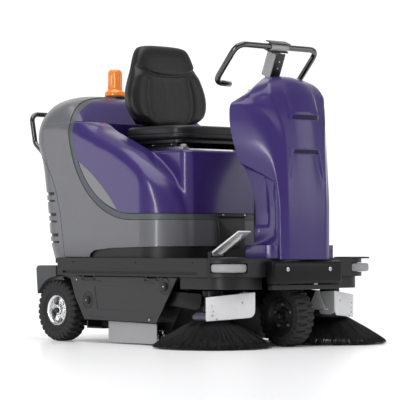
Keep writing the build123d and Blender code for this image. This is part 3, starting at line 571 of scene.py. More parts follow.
def arch_zone(margin, name):
    """The region in front of the hood's round rear edge."""
    radius = ARCH_R + margin
    arc = [(ARCH_X + radius * math.cos(math.radians(a)), ARCH_Z + radius * math.sin(math.radians(a)))
           for a in np.linspace(270, 180, 61)]
    side = prism(arc + [(ARCH_X - radius, ARCH_Z + 0.5), (700, ARCH_Z + 0.5), (700, ARCH_Z - radius)],
                 name=name)
    edge = ARCH_X - radius
    bow = [(edge - ARCH_BOW * (1 - (y / 392.0) ** 2), y) for y in np.linspace(-392, 392, 61)]
    top = prism(bow + [(edge, 600), (700, 600), (700, -600), (edge, -600)], ARCH_Z, 1400, "top", plan=True)
    cut(side, top, "UNION", "EXACT")
    return side


# the line where the rear door meets the body, in side view (x, z)
DOOR = [(-362, 300), (-370, 353), (-384, 440), (-400, 535), (-424, 618), (-456, 690), (-500, 755),
        (-560, 798)]


def copy_of(obj, name):
    """A copy of an object with a mesh of its own."""
    twin = obj.copy()
    twin.data = obj.data.copy()
    twin.name = name
    bpy.context.collection.objects.link(twin)
    return twin


GRID = 6.0
outer_hull = hull(0.0, GRID, "outer_hull", 350.0)
inner_hull = hull(-5.0, GRID * 1.5, "inner_hull", 330.0)
skin = copy_of(outer_hull, "skin")
boolean(skin, inner_hull)

door_block = prism([(-900, 300)] + DOOR + [(-900, 798)])
door_gap_block = prism([(-900, 300)] + [(x - 2, z - 2) for x, z in DOOR] + [(-900, 796)])
foot_block = prism([(-900, 200), (-900, 356), (-206, 357), (-198, 372), (-170, 386), (-60, 395), (200, 401),
                    (400, 405), (400, 200)])


def lens_zone(margin, name):
    """The lens between the hood's round edge and a flatter arc, through both sides."""
    inner = [(ARCH_X + (ARCH_R - 4 - margin) * math.cos(a), ARCH_Z + (ARCH_R - 4 - margin) * math.sin(a))
             for a in np.radians(np.linspace(206, 257, 30))]
    a0, a1 = inner[0], inner[-1]
    middle = (-146 - 0.65 * margin, 672 - 0.76 * margin)
    outer = []
    for t in np.linspace(0, 1, 30)[1:-1]:
        w0, w1, w2 = (1 - t) * (1 - 2 * t), 4 * t * (1 - t), t * (2 * t - 1)
        outer.append((a1[0] * w0 + middle[0] * w1 + a0[0] * w2, a1[1] * w0 + middle[1] * w1 + a0[1] * w2))
    low = prism(inner + outer, -600, -150, name)
    high = prism(inner + outer, 150, 600, name + "_high")
    cut(low, high, "UNION", "EXACT")
    return low


hood = copy_of(skin, "hood")
cut(hood, arch_zone(-2.0, "zone_hood"), "INTERSECT")
cut(hood, lens_zone(0.0, "lens_hole"))
insert = hull(-1.5, GRID, "insert", 350.0)
boolean(insert, inner_hull)
cut(insert, lens_zone(1.4, "lens_fill"), "INTERSECT")
finish_piece(insert, "hood_insert", PALE_PANEL, "hood")

body = copy_of(skin, "body")
cut(body, arch_zone(BAND_W, "zone_band"))
cut(body, door_block)
cut(body, foot_block)

door = skin
cut(door, door_gap_block, "INTERSECT")
# pairs of louvre slots through the corners of the door: middle height, half height
LOUVRES = ((626, 6.5), (595, 4.0), (537, 6.5), (507, 4.0), (450, 6.5), (420, 4.0))
slots = []
for z, tall in LOUVRES:
    slot_front = -445 - 0.35 * min(z - 620, 0) * 0.5
    for s in (-1, 1):
        slots.append(box((-700, slot_front), (s * 262, s * 420), (z - tall, z + tall)))
slot_cutter = mesh_object("slots", [p * MM for shape, _ in slots for p in shape],
                          [tuple(i + 8 * k for i in f) for k, (_, fs) in enumerate(slots) for f in fs], GREY)
fix_normals(slot_cutter)
cut(door, slot_cutter)
liner = hull(-6.5, GRID * 1.5, "door_liner", 350.0)
cut(liner, hull(-9.5, GRID * 1.5, "liner_core", 340.0))
cut(liner, prism([(-900, 400), (-425, 400), (-436, 648), (-900, 648)]), "INTERSECT")
finish_piece(liner, "door_liner", BLACK, "hopper")

band = hull(-3.0, GRID, "band", 350.0)
boolean(band, inner_hull)
cut(band, arch_zone(BAND_W - 1.5, "zone_in"), "INTERSECT")
cut(band, arch_zone(0.0, "zone_out"))

finish_piece(hood, "hood_panel", VIOLET, "hood")
# painted shade: the grey body's colour falls off toward the front
paint_shade_forward(GREY, -0.28, 0.06, 0.95)
finish_piece(body, "rear_body", GREY, "chassis")
finish_piece(door, "rear_door_panel", GREY, "hopper")
finish_piece(band, "arch_trim", BAND, "chassis")
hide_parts("hood_shell")
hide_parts("body_shell")
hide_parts("rear_door")
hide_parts("arch_band")
remove(outer_hull)
remove(inner_hull)


# ---- steering column
# rows from the foot upward: back edge, side edge, outer crease, inner crease, centre of the front (x, y, z)
COLUMN = [
    [(520, 130, 350), (685, 137, 350), (695, 115, 350), (700, 100, 350), (707, 0, 350)],
    [(520, 129, 470), (683, 139, 470), (693, 118, 470), (699, 103, 470), (706, 0, 470)],
    [(520, 137, 588), (680, 141, 588), (690, 120, 588), (697, 106, 588), (705, 0, 588)],
    [(520, 163, 668), (670, 146, 668), (683, 122, 668), (693, 108, 668), (704, 0, 668)],
    [(520, 214, 760), (654, 155, 760), (680, 120, 760), (688, 108, 760), (702, 0, 760)],
    [(520, 242, 830), (632, 170, 830), (670, 125, 830), (683, 112, 830), (698, 0, 830)],
    [(520, 258, 910), (592, 200, 910), (636, 151, 910), (670, 127, 910), (691, 0, 910)],
    [(520, 252, 965), (552, 226, 968), (600, 186, 965), (652, 140, 965), (680, 0, 970)],
    [(520, 220, 985), (528, 205, 992), (565, 190, 1000), (635, 150, 1010), (660, 0, 1025)],
    [(520, 165, 1015), (526, 160, 1020), (550, 155, 1035), (610, 130, 1050), (632, 0, 1063)],
    [(520, 105, 1058), (528, 100, 1064), (545, 95, 1070), (568, 80, 1077), (585, 0, 1085)],
    [(520, 92, 1066), (522, 86, 1072), (526, 80, 1077), (530, 60, 1082), (534, 0, 1088)],
]
COLUMN_T = [350, 470, 588, 668, 760, 830, 910, 966, 1012, 1052, 1100, 1140]


def column_surface():
    """Fine grid of the column skin with its two recessed fronts and side pockets."""
    rows = np.array(COLUMN, float)
    side = rows.copy()
    side[..., 1] *= -1
    cage = np.concatenate([side, rows[:, 3::-1]], 1)
    knots = np.array(COLUMN_T, float)
    t = np.concatenate([np.arange(350, 900, 4.0), np.arange(900, 1140.1, 3.0)])
    slopes = np.gradient(cage, knots, axis=0)
    i = np.clip(np.searchsorted(knots, t) - 1, 0, len(knots) - 2)
    span = (knots[i + 1] - knots[i])[:, None, None]
    fine = hermite((t - knots[i])[:, None, None] / span, span, cage, slopes, i)
    soft_crease = 0.16 + 0.30 * step_up(-t, -640, -400)
    softness = [np.full_like(t, 0.42), soft_crease, soft_crease, np.full_like(t, 0.98)]
    softness = softness + softness[2::-1]
    columns = [fine[:, 0]]
    segments = fine.shape[1] - 1
    for k in range(segments):
        a, b = fine[:, k], fine[:, k + 1]
        lead = softness[k - 1] * 0.5 if k > 0 else np.zeros_like(t)
        tail = softness[k] * 0.5 if k < segments - 1 else np.zeros_like(t)
        straight = 4 if k in (1, 2, segments - 2, segments - 3) else 14
        for f in np.linspace(0, 1, straight)[(0 if k else 1):]:
            w = (lead + (1 - lead - tail) * f)[:, None]
            columns.append(a * (1 - w) + b * w)
        if k < segments - 1:
            share = (softness[k] * 0.5)[:, None]
            start = a * share + b * (1 - share)
            end = b * (1 - share) + fine[:, k + 2] * share
            steps = 24 if k == 3 else 6
            for f in np.linspace(0, 1, steps)[1:-1]:
                columns.append(start * (1 - f) ** 2 + b * 2 * f * (1 - f) + end * f * f)
    x, y, z = np.moveaxis(np.stack(columns, 1), -1, 0)
    across = np.abs(y)
    front = step_up(x, 560, 600)
    boss = (1 - step_up(across, 68, 84)) * front * np.clip((1040 - z) / 105, 0, 1) ** 1.4
    boss = boss * np.where(z > 926, 1.0, np.clip((z - 904) / 22, 0, 1))
    x = x + 11.0 * boss
    wide = 66 + 24 * np.clip((786 - z) / 130, 0, 1)
    scoop = (1 - step_up(across, wide - 7, wide + 7)) * front
    scoop = scoop * np.clip((788 - z) / 20, 0, 1) * (1 - step_up(-z, -765, -620))
    x = x - 10.0 * scoop
    top_line = 720 - 56 * (x - 537) / 113
    below = 1 - step_up(z, top_line - 9, top_line + 3)
    pocket = below * (1 - step_up(x, 650, 661))
    pocket = pocket * step_up(z, 412, 440 + 0.35 * (x - 520)) * step_up(across, 118, 124)
    deeper = (1 - step_up(x, 602, 612)) * step_up(z, 470, 492) * below
    y = y - np.sign(y) * (7.0 * pocket + 6.0 * deeper * pocket)
    return np.stack([x, y, z], -1)


def column():
    """The column's panel with its two feet and four screws."""
    grid = column_surface()
    rows, count = grid.shape[:2]
    faces = [(r * count + c, r * count + c + 1, (r + 1) * count + c + 1, (r + 1) * count + c)
             for r in range(rows - 1) for c in range(count - 1)]
    obj = mesh_object("column_panel", grid.reshape(-1, 3) * MM, faces, VIOLET)
    work = bmesh.new()
    work.from_mesh(obj.data)
    bmesh.ops.recalc_face_normals(work, faces=work.faces)
    front = max(work.faces, key=lambda f: f.calc_center_median().x)
    if front.normal.x < 0:
        bmesh.ops.reverse_faces(work, faces=work.faces)
    work.to_mesh(obj.data)
    work.free()
    modifier = obj.modifiers.new("wall", "SOLIDIFY")
    modifier.thickness = 0.005
    modifier.offset = -1
    apply_modifiers(obj)
    finish_piece(obj, "column_panel", VIOLET, "chassis", 24.0)
    # downward-facing faces under the column's front ledges get the dark violet painted shade
    obj.data.materials.append(VIOLET_PAINTED_SHADE)
    for face in obj.data.polygons:
        x, y, z = face.center
        if x > 0.60 and abs(y) < 0.10 and z > 0.70 and face.normal.z < -0.24:
            face.material_index = 1
    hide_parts("steering_column")
    feet = []
    for s in (-1, 1):
        outline = rounded([(522, s * 124), (676, s * 124), (676, s * 168), (650, s * 182), (522, s * 182)],
                          [2, 2, 18, 18, 12])
        if s < 0:
            outline = outline[::-1]
        feet.append(outline_solid((0, 0, 354.5), (1, 0, 0), (0, 1, 0), outline, 52))
    build("column_feet", feet, VIOLET, "chassis", bevel=4.0)
    screws = []
    for s in (-1, 1):
        screws += [head((621, s * 126, 633), (0, s, 0), 7.5, 3.5),
                   head((546, s * 120.5, 464), (0, s, 0), 7.5, 3.5)]
    build("column_screws", screws, STEEL, "chassis")


column()


# ---- wheels
STEPS_PER_BLOCK = 10
REAR_X, REAR_Z = -424, 130
FRONT_HUB = (578, 0, 122)


def tyre(name, centre, outer, inner, width, blocks, body, node):
    """A tyre lathed from its half section, (radius, share of the half width), with blocks cut around it."""
    half = width / 2
    section = [(inner, 0.70), (inner + 6, 0.84), (inner + 16, 0.93), (outer - 40, 0.985), (outer - 26, 0.99),
               (outer - 18, 0.97), (outer - 12, 0.95), (outer - 11, 0.94), (outer - 4, 0.86),
               (outer - 1.5, 0.74), (outer, 0.62), (outer, 0.45), (outer, 0.30), (outer, 0.20), (outer, 0.12),
               (outer, 0.05)]
    profile = [(r, -half * w) for r, w in section] + [(r, half * w) for r, w in reversed(section)]
    pitch = 2 * math.pi / blocks

    def tread(radius, along, turn):
        side = 1 if along > 0 else -1
        phase = ((turn + (pitch / 2 if side > 0 else 0)) % pitch) / pitch
        reach = abs(along) / half
        gap = 1.0 if phase < 0.34 else 0.0
        if radius > outer - 14:  # the crown: shoulder, middle and centre rows of blocks
            if reach > 0.40:
                radius -= 7.5 * gap
            elif reach > 0.16:
                radius -= 6.0 if phase < 0.22 else 0.0
            else:
                radius -= 6.5 if 0.12 < reach else (5.5 if phase < 0.16 else 0.0)
        elif radius > outer - 30 and gap:
            along *= 0.965
        return radius, along

    shape = lathe(centre, (0, 1, 0), profile, blocks * STEPS_PER_BLOCK, tread)
    rings = []
    for s in (-1, 1):
        for ring_r in (inner + 20, outer - 46):
            seat = half * (0.945 if ring_r < outer - 50 else 0.975)
            ridge = [(ring_r - 1.6, -2), (ring_r + 1.6, -2), (ring_r + 0.9, 1.0), (ring_r - 0.9, 1.0)]
            rings.append(lathe((centre[0], centre[1] + s * seat, centre[2]), (0, s, 0), ridge, 72))
    obj = build(name, [shape, *rings], TYRE, body, angle=28, weld=False)
    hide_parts(node)


def bright_rim(name, centre, side, body, node):
    """Barrel with a rolled lip, dished disc with five windows, hub cap and nuts."""
    at, out = Vector(centre), Vector((0, side, 0))
    barrel = [(53, -28), (60.5, -30), (60.5, 28), (63.5, 31), (64.5, 34), (62.5, 36), (60, 34), (55, 29),
              (54, 20), (53, 8)]
    shapes = [lathe(at, out, barrel, 72)]
    hub = [(0.01, -30), (24, -30), (25, 6), (26, 12), (24, 16), (19, 18), (18, 26), (15, 30), (0.01, 31)]
    shapes.append(lathe(at, out, hub, 48))
    for k in range(5):
        angle = math.radians(72 * k + 18)
        u = Vector((math.cos(angle), 0, math.sin(angle)))
        v = out.cross(u)
        spoke = rounded([(20, -15), (55, -10.5), (55, 10.5), (20, 15)], 3)
        verts, faces = outline_solid(at + out * 3, u, v, spoke, 7)
        bent = [p + out * 5.0 * max(0.0, 1 - (p - at).dot(u) / 60) for p in verts]
        shapes.append((bent, faces))
        nut = at + u * 31 + out * 12
        shapes.append(lathe(nut, out, [(0.01, -6), (6, -6), (6, 4), (4.6, 6), (0.01, 6)], 6))
    obj = build(name, shapes, CHROME, body, bevel=0.9)
    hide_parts(node)


for side, word in SIDES:
    wheel_at = (REAR_X, side * 360, REAR_Z)
    tyre(f"rear_tread_{word}", wheel_at, 130, 61, 84, 30, f"rear_wheel_{word}", f"rear_tyre_{word}")
    bright_rim(f"rear_disc_{word}", wheel_at, side, f"rear_wheel_{word}", f"rear_rim_{word}")
    well = [(14, 0), (53, 0), (53, 3), (14, 3)]
    build(f"rear_well_{word}", [lathe((REAR_X, side * 348, REAR_Z), (0, side, 0), well, 48)], STEEL,
          f"rear_wheel_{word}")

tyre("front_tread", FRONT_HUB, 122, 72, 92, 26, "front_wheel", "front_tyre")
hub_shapes = []
for s in (-1, 1):
    dish = [(16, -6), (70, -6), (71.5, 36), (68, 36), (62, 26), (56, 17), (34, 15), (30, 24), (16, 25)]
    hub_shapes.append(lathe(FRONT_HUB, (0, s, 0), dish, 64))
hub_cap = [(13.8, 22), (17, 22), (17, 53), (14.5, 56), (0.01, 57), (0.01, 54.5), (13, 54.5), (13.8, 53)]
hub_shapes.append(lathe(FRONT_HUB, (0, -1, 0), hub_cap, 40))
build("front_hub", hub_shapes, HUB_BLACK, "front_wheel", bevel=1.0)
bolts = []
for s in (-1, 1):
    for k in range(5):
        a = math.radians(72 * k + 20)
        bolt_at = (FRONT_HUB[0] + 46 * math.cos(a), s * 18, FRONT_HUB[2] + 46 * math.sin(a))
        bolts.append(head(bolt_at, (0, s, 0), 6.5, 5))
bolt_obj = build("front_bolts", bolts, STEEL, "front_wheel")
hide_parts("front_rim")


# ---- brushes
BRUSH_X, BRUSH_Y, BRUSH_REACH = 494, 326, 243.0
ROLL_X, ROLL_Z, ROLL_HALF = 40, 132, 282


def strand(root, tip, sag, radius, steps=4):
    """A thin three-sided bristle from root to tip, bowed by sag."""
    verts = []
    root, tip, sag = Vector(root), Vector(tip), Vector(sag)
    along = (tip - root).normalized()
    a = along.orthogonal().normalized()
    b = along.cross(a)
    for k in range(steps + 1):
        t = k / steps
        centre = root.lerp(tip, t) + sag * 4 * t * (1 - t)
        r = radius * (1 - 0.35 * t)
        verts += [centre + a * r, centre + b * r * 0.87 - a * r * 0.5, centre - b * r * 0.87 - a * r * 0.5]
    faces = loop_faces(steps + 1, 3, closed=False) + [(2, 1, 0), (3 * steps, 3 * steps + 1, 3 * steps + 2)]
    return verts, faces


def side_bristles(word, side):
    """Three rings of splayed tufts, and the plugs that hold them in the disc."""
    rng.seed(5 if side < 0 else 9)
    shapes = []
    centre = Vector((BRUSH_X, side * BRUSH_Y, 0))
    rings = ((62, 0.90, 44, 2), (68, 0.96, 48, 6), (74, 1.0, 52, 10))
    per_tuft = 22
    for ring, reach, tufts, lift in rings:
        for k in range(tufts):
            base = 2 * math.pi * (k + ring * 0.37) / tufts
            lean = rng.uniform(-0.03, 0.03)
            tuft_reach = reach * rng.uniform(0.97, 1.0)
            for _ in range(per_tuft):
                turn = base + rng.uniform(-0.035, 0.035)
                spread = turn + lean + rng.gauss(0, 0.045)
                length = tuft_reach * (1 - abs(rng.gauss(0, 0.045)))
                radius = BRUSH_REACH * length
                outward = Vector((math.cos(turn), math.sin(turn), 0))
                toward = Vector((math.cos(spread), math.sin(spread), 0))
                root = centre + outward * (ring + rng.uniform(-3, 3)) + Vector((0, 0, 108))
                height = 2.0 + lift * rng.random() + max(0, (0.92 - length) * 40) + abs(rng.gauss(0, 2))
                tip = centre + toward * radius + Vector((0, 0, height))
                sag = Vector((0, 0, 3.0)) + outward * 2
                shapes.append(strand(root, tip, sag, rng.uniform(0.85, 1.25)))
    obj = build(f"bristle_skirt_{word}", shapes, BRISTLE, f"side_brush_{word}", weld=False, angle=180)
    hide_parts(f"side_brush_bristles_{word}")
    plugs = []
    for k in range(48):
        a = 2 * math.pi * k / 48
        plugs.append(lathe(centre + Vector((70 * math.cos(a), 70 * math.sin(a), 104)),
                           (math.cos(a) * 0.55, math.sin(a) * 0.55, -0.83),
                           [(0.01, 0), (4.2, 0), (3.4, 7), (0.01, 7)], 8))
    build(f"tuft_plugs_{word}", plugs, BLACK, f"side_brush_{word}")


side_bristles("right", -1)
side_bristles("left", 1)

rng.seed(21)
roller_strands = []
tufts_along = 64
for row in range(8):
    for k in range(tufts_along):
        y = -ROLL_HALF + 2 * ROLL_HALF * k / (tufts_along - 1)
        base = math.radians(row * 45) + 0.55 * abs(y) / ROLL_HALF
        for _ in range(6):
            turn = base + rng.gauss(0, 0.05)
            tip_turn = turn + rng.gauss(0, 0.05)
            across = y + rng.uniform(-5, 5)
            tip_y = max(-285, min(285, across + rng.gauss(0, 4)))
            reach = 130.5 - abs(rng.gauss(0, 2.0))
            root = (ROLL_X + 59 * math.cos(turn), across, ROLL_Z + 59 * math.sin(turn))
            tip = (ROLL_X + reach * math.cos(tip_turn), tip_y, ROLL_Z + reach * math.sin(tip_turn))
            roller_strands.append(strand(root, tip, (0, 0, 0), 1.3, 2))
brush_obj = build("brush_roll", roller_strands, BRISTLE, "main_brush", weld=False, angle=180)
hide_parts("main_brush_bristles")


# ---- seat
# height, half width of the backrest
BACK_SHAPE = [(905, 120), (925, 165), (950, 190), (980, 205), (1015, 212), (1060, 208), (1105, 192),
              (1150, 172), (1190, 158), (1225, 143), (1261, 122)]
BACK_MID, BACK_HALF, RECLINE = 1083, 178, 0.115
SEAT_X = -10


def backrest():
    """A waisted pad with side bolsters, a headrest above a curved seam, and stitched lines down its front."""
    rows, count = ((150, 200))
    s = np.linspace(-1, 1, rows)
    z = BACK_MID + BACK_HALF * np.sin(s * math.pi / 2)
    turn = np.linspace(0, 2 * math.pi, count, endpoint=False)
    zz, tt = np.meshgrid(z, turn, indexing="ij")
    rise = np.clip(np.abs(zz - BACK_MID) / BACK_HALF, 0, 1)
    sharp = np.where(zz > BACK_MID, 34.0, 9.0)
    half = spline(BACK_SHAPE, 1, zz) * np.power(np.clip(1 - rise ** sharp, 0, 1), 0.5)
    thick = 37 * np.power(np.clip(1 - rise ** 9, 0, 1), 0.5)
    cos, sin = np.cos(tt), np.sin(tt)
    y = half * np.sign(sin) * np.abs(sin) ** 0.62
    depth = thick * np.sign(cos) * np.abs(cos) ** 0.55
    centre = -170 - 0.00004 * (zz - 960) ** 2 - RECLINE * (zz - 960)
    x = centre + depth
    front = step_up(depth, 0, 18)
    share = np.abs(y) / np.maximum(half, 1)
    bolster = step_up(share, 0.42, 0.86) * step_up(-zz, -1165, -1120) * step_up(zz, 915, 960)
    x = x + front * (13.0 * bolster - 9.0 * (1 - step_up(share, 0.0, 0.75)) * step_up(-zz, -1150, -1100))
    seam_z = 1128 + 40 * share ** 2
    groove = np.exp(-((zz - seam_z) / 5.0) ** 2) * step_up(depth, 5, 16)
    pillow = step_up(zz, 1128, 1150)
    x = x + front * 5.0 * pillow * step_up(zz, seam_z - 4, seam_z + 10) - 4.5 * groove
    middle = np.exp(-((y + 3) / 3.0) ** 2) * front * step_up(zz, 935, 955) * (1 - step_up(zz, 1092, 1112))
    x = x - 4.5 * middle
    flank = np.exp(-((share - 0.60) / 0.022) ** 2) * front
    flank = flank * step_up(zz, 930, 950) * (1 - step_up(zz, 1096, 1120))
    x = x - 3.0 * flank
    piping = np.exp(-((depth - 6) / 2.6) ** 2)
    y = y + np.sign(y) * 1.2 * piping * step_up(share, 0.8, 0.95)
    verts = np.stack([x, y, zz], -1).reshape(-1, 3) * MM
    faces = loop_faces(rows, count, closed=False)
    faces += [tuple(range(count)), tuple(range(len(verts) - 1, len(verts) - count - 1, -1))]
    obj = mesh_object("backrest_pad", verts, faces, VINYL)
    fix_normals(obj)
    finish_piece(obj, "backrest_pad", VINYL, "seat", 60)
    obj.data.materials.append(VINYL_SIDE)
    for face in obj.data.polygons:
        x, y, z = (c / MM for c in face.center)
        limit = 0.93 * float(spline(BACK_SHAPE, 1, np.array(z)))
        if abs(y) > limit and 930 < z < 1120 and x < -162 - RECLINE * (z - 960):
            face.material_index = 1
    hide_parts("seat_backrest")


def cushion():
    """A squared-off pad with a seam around its side and two stitched lines along its dished top."""
    rows, count = ((90, 260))
    turns = [(math.cos(t), math.sin(t)) for t in np.linspace(0, 2 * math.pi, count, endpoint=False)]
    verts = []
    for k in np.linspace(-1, 1, rows):
        z = 872 + 30 * math.sin(k * math.pi / 2)
        inset = 26 * (1 - (1 - abs(math.sin(k * math.pi / 2)) ** 5) ** 0.5)
        seam = math.exp(-((z - 866) / 2.2) ** 2)
        for c, n in turns:
            ux, uy = math.copysign(abs(c) ** 0.30, c), math.copysign(abs(n) ** 0.30, n)
            x = SEAT_X + (185 - inset) * ux
            y = (229 - inset) * uy
            x -= 1.8 * seam * ux
            y -= 1.8 * seam * uy
            verts.append((x * MM, y * MM, z * MM))
    rings = 26
    for ring in range(1, rings + 1):
        f = 1 - ring / rings
        power = 0.30 + 0.7 * (1 - f)
        for c, n in turns:
            ux, uy = math.copysign(abs(c) ** power, c), math.copysign(abs(n) ** power, n)
            x, y = SEAT_X + 159 * f * ux, 203 * f * uy
            dip = 9 * float(step_up(np.array(-abs(y)), -170, -110)) * float(step_up(np.array(f), 1.0, 0.86))
            seam = 3.0 * math.exp(-((abs(y) - 128) / 3.0) ** 2) * (1 if f < 0.95 else 0)
            verts.append((x * MM, y * MM, (902 - dip - seam) * MM))
    faces = loop_faces(rows + rings, count, closed=False)
    faces.append(tuple(range(count)))
    obj = mesh_object("seat_pad", verts, faces, VINYL)
    fix_normals(obj, 0.0002)
    finish_piece(obj, "seat_pad", VINYL, "seat", 60)
    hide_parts("seat_cushion")


backrest()
cushion()


# ---- front bumper, rail and rollers
def front_bumper():
    """A moulding across the nose with a bowed face and rounded edges, two screws and a lip under it."""
    stations = np.concatenate([[-190], np.linspace(-187, 187, 41), [190]])
    verts, count = [], 36
    back, half_width = 661, 190
    for y in stations:
        ease = 0.90 if abs(y) > 189 else 1.0
        nose = 710 - 9 * (y / half_width) ** 2
        for k in range(count):
            turn = 2 * math.pi * k / count
            c, n = math.cos(turn), math.sin(turn)
            ux, uz = math.copysign(abs(c) ** 0.34, c), math.copysign(abs(n) ** 0.34, n)
            middle, half_x = (nose + back) / 2, (nose - back) / 2
            x = middle + half_x * ux
            if ux > 0:
                x = middle + half_x * ux * ease - 6 * max(0, uz) ** 6
            verts.append(Vector((x, y, 298.5 + 46.5 * uz * ease)))
    faces = loop_faces(len(stations), count, closed=False)
    faces += [tuple(range(count)), tuple(range(len(verts) - 1, len(verts) - count - 1, -1))]
    obj = build("bumper_moulding", [(verts, faces)], BUMPER_BLACK, "chassis", angle=40)
    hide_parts("front_bumper")
    screws = [head((706.5, y, 311), (1, 0, 0), 8.5, 4.0) for y in (-116, 118)]
    build("bumper_screws", screws, STEEL, "chassis")
    build("bumper_lip", [box((662, 694), (-184, 184), (229.5, 250))], BLACK, "chassis", bevel=3)


front_bumper()
rail_screws = [head((x, s * 409.5, 336), (0, s, 0), 4.5, 2.2) for s in (-1, 1) for x in (-290, 120, 470)]
build("rail_screws", rail_screws, BLACK, "chassis")

ROLLER_X, ROLLER_Y = 607, 341
for s, word in SIDES:
    wheel = [(8.1, -16.8), (60, -16.8), (66, -15), (69.4, -11), (70, -6), (70, 6), (69.4, 11), (66, 15),
             (60, 16.8), (30, 16.8), (28, 15), (8.1, 15)]
    obj = build(f"roller_disc_{word}", [lathe((ROLLER_X, s * ROLLER_Y, 316), UP, wheel, 72)],
                ROLLER_MAT, f"roller_{word}")
    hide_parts(f"bumper_roller_{word}")
    ring = [(60.72, 0), (73.6, 0), (73.6, 4), (70.84, 7), (63.48, 7), (60.72, 4)]
    build(f"roller_cap_{word}", [lathe((ROLLER_X, s * ROLLER_Y, 352), UP, ring, 64)], BLACK, "chassis")


# ---- rear fenders
def arc_points(x, z, radius, start, stop, count):
    """Points on an arc around (x, z), angles in degrees."""
    return [(x + radius * math.cos(math.radians(a)), z + radius * math.sin(math.radians(a)))
            for a in np.linspace(start, stop, count)]


# the fender's outline (x, z) behind the axle, where it is wider, and in front of it
REAR_HALF = [*arc_points(REAR_X, REAR_Z, 143, 90, 151, 20), (-552, 199),
             *arc_points(-543, 302, 18, 176, 90, 8), (REAR_X, 320)]
FRONT_HALF = [*arc_points(REAR_X, REAR_Z, 143, 48, 90, 14), (REAR_X, 320), (-306, 320), (-294, 298),
              (-322, 250)]
FENDER_INNER, REAR_WIDTH, FRONT_WIDTH = 312, 88, 49
for s, word in SIDES:
    shells = []
    for outline, width in ((REAR_HALF, REAR_WIDTH), (FRONT_HALF, FRONT_WIDTH)):
        middle = s * (FENDER_INNER + width / 2)
        shells.append(side_plate(middle, outline, width))
    shell = build(f"fender_shell_{word}", shells, FENDER_GREY, "chassis", bevel=3.0, weld=False)
    if s < 0:
        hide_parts("rear_fenders")


# ---- brush arm fittings
for s, word in SIDES:
    run = Vector((80, -s * 187, 0)).normalized()
    out = Vector((abs(run.y), s * run.x, 0))
    outer_corner = Vector((549, s * 408, 0))
    bolts = []
    for along, z, r in ((24, 168, 3.2), (30, 148, 3.2), (26, 130, 4.6), (44, 116, 4.0), (150, 180, 4.6)):
        bolts.append(head(outer_corner + out * 2.2 + run * along + Vector((0, 0, z)), out, r, 2.2))
    build(f"guard_screws_{word}", bolts, STEEL, f"arm_{word}")
    motor = [(0.01, 0), (38, 0), (40.5, 3), (40.5, 26), (37, 28), (37, 62), (40.5, 64), (40.5, 84), (36, 88),
             (20, 90), (0.01, 90)]
    parts = [lathe((BRUSH_X, s * BRUSH_Y, 141), UP, motor, 56)]
    for k in range(4):
        a = math.radians(45 + 90 * k)
        parts.append(lathe((BRUSH_X + 31 * math.cos(a), s * BRUSH_Y + 31 * math.sin(a), 229), UP,
                           [(0.01, 0), (5, 0), (5, 4), (0.01, 4)], 6))
    build(f"motor_can_{word}", parts, BUMPER_BLACK, f"arm_{word}")
    arm = [(238, 176), (262, 168), (440, 150), (468, 156), (478, 178), (478, 214), (262, 222), (238, 214)]
    bar = [side_plate(s * 368, rounded(arm, 8), 4),
           lathe((250, s * 352, 200), (0, s, 0), [(8.2, 0), (14, 0), (14, 18), (8.2, 18)], 40),
           box((400, 478), (s * 290, s * 369), (186, 190)), box((514, 566), (s * 300, s * 350), (196, 200)),
           lathe((BRUSH_X, s * BRUSH_Y, 112), UP, [(0.01, 0), (7, 0), (7, 60), (0.01, 60)], 24)]
    build(f"lift_bar_{word}", bar, BUMPER_BLACK, f"arm_{word}", bevel=0.8)
    face = rounded([(0, 108), (203.4, 122), (203.4, 221), (0, 202)], [5, 30, 5, 5], 8)
    guard = outline_solid(outer_corner - out * 2, run, UP, face, -4 * s)
    cheek = side_plate(s * 221, rounded([(540, 124), (629, 124), (629, 221), (540, 217)], [20, 28, 4, 4]), 4)
    plate_obj = build(f"guard_plate_{word}", [guard, cheek], GUARD_GREY, f"arm_{word}", bevel=1.0)
    web = [(493, 142), (595, 142), (595, 150), (556, 221), (540, 221)]
    foot = box((500, 592), (s * 200, s * 223), (142, 146))
    build(f"guard_web_{word}", [side_plate(s * 202, rounded(web, [4, 4, 4, 6, 6]), 4), foot], WHITE_PAINT,
          f"arm_{word}", bevel=0.8)
    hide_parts(f"side_brush_arm_{word}")


# ---- side covers
COVER_FACE = 392
KNOBS_AT = (("rear", -215, 177), ("front", 282, 240))
for s, word in SIDES:
    for place, x, z in KNOBS_AT:
        bezel = [(17.6, -1.5), (20, 0.3), (30, 0.3), (32, 1.6), (34.5, 1.6), (36, 0.6), (36, -1.5)]
        build(f"knob_well_{word}_{place}", [lathe((x, s * COVER_FACE, z), (0, s, 0), bezel, 56)], FRAME_PAINT,
              f"cover_{word}")
        knob = [(0.01, 0), (16.5, 0), (17, 4), (15.5, 6), (0.01, 6)]
        wing = outline_solid((x, s * 397.5, z), (1, 0, 0), UP,
                             rounded([(-14, -3.4), (14, -3.4), (14, 3.4), (-14, 3.4)], 3), -s * 4.2)
        cap = build(f"knob_face_{word}_{place}", [lathe((x, s * 392.3, z), (0, s, 0), knob, 40), wing], BLACK,
                    f"knob_{word}_{place}", bevel=0.8)
        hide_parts(f"cover_knob_{word}_{place}")
        build(f"knob_dot_{word}_{place}", [head((x, s * 401, z), (0, s, 0), 3.4, 1.4)], STEEL,
              f"knob_{word}_{place}")
    ribs = []
    for x0, x1, z in ((-250, -120, 256), (-210, -110, 108), (150, 215, 250), (160, 205, 112)):
        ribs.append(outline_solid((0, s * 391.5, 0), (1, 0, 0), UP,
                                  rounded([(x0, z), (x1, z), (x1, z + 4), (x0, z + 4)], 2), -s * 2.2))
    build(f"cover_ribs_{word}", ribs, DARK, f"cover_{word}", bevel=0.7)
    screws = [head((185, s * COVER_FACE, 104), (0, s, 0), 5, 2.4),
              head((-290, s * COVER_FACE, 262), (0, s, 0), 4, 2.0)]
    build(f"cover_screws_{word}", screws, STEEL, f"cover_{word}")


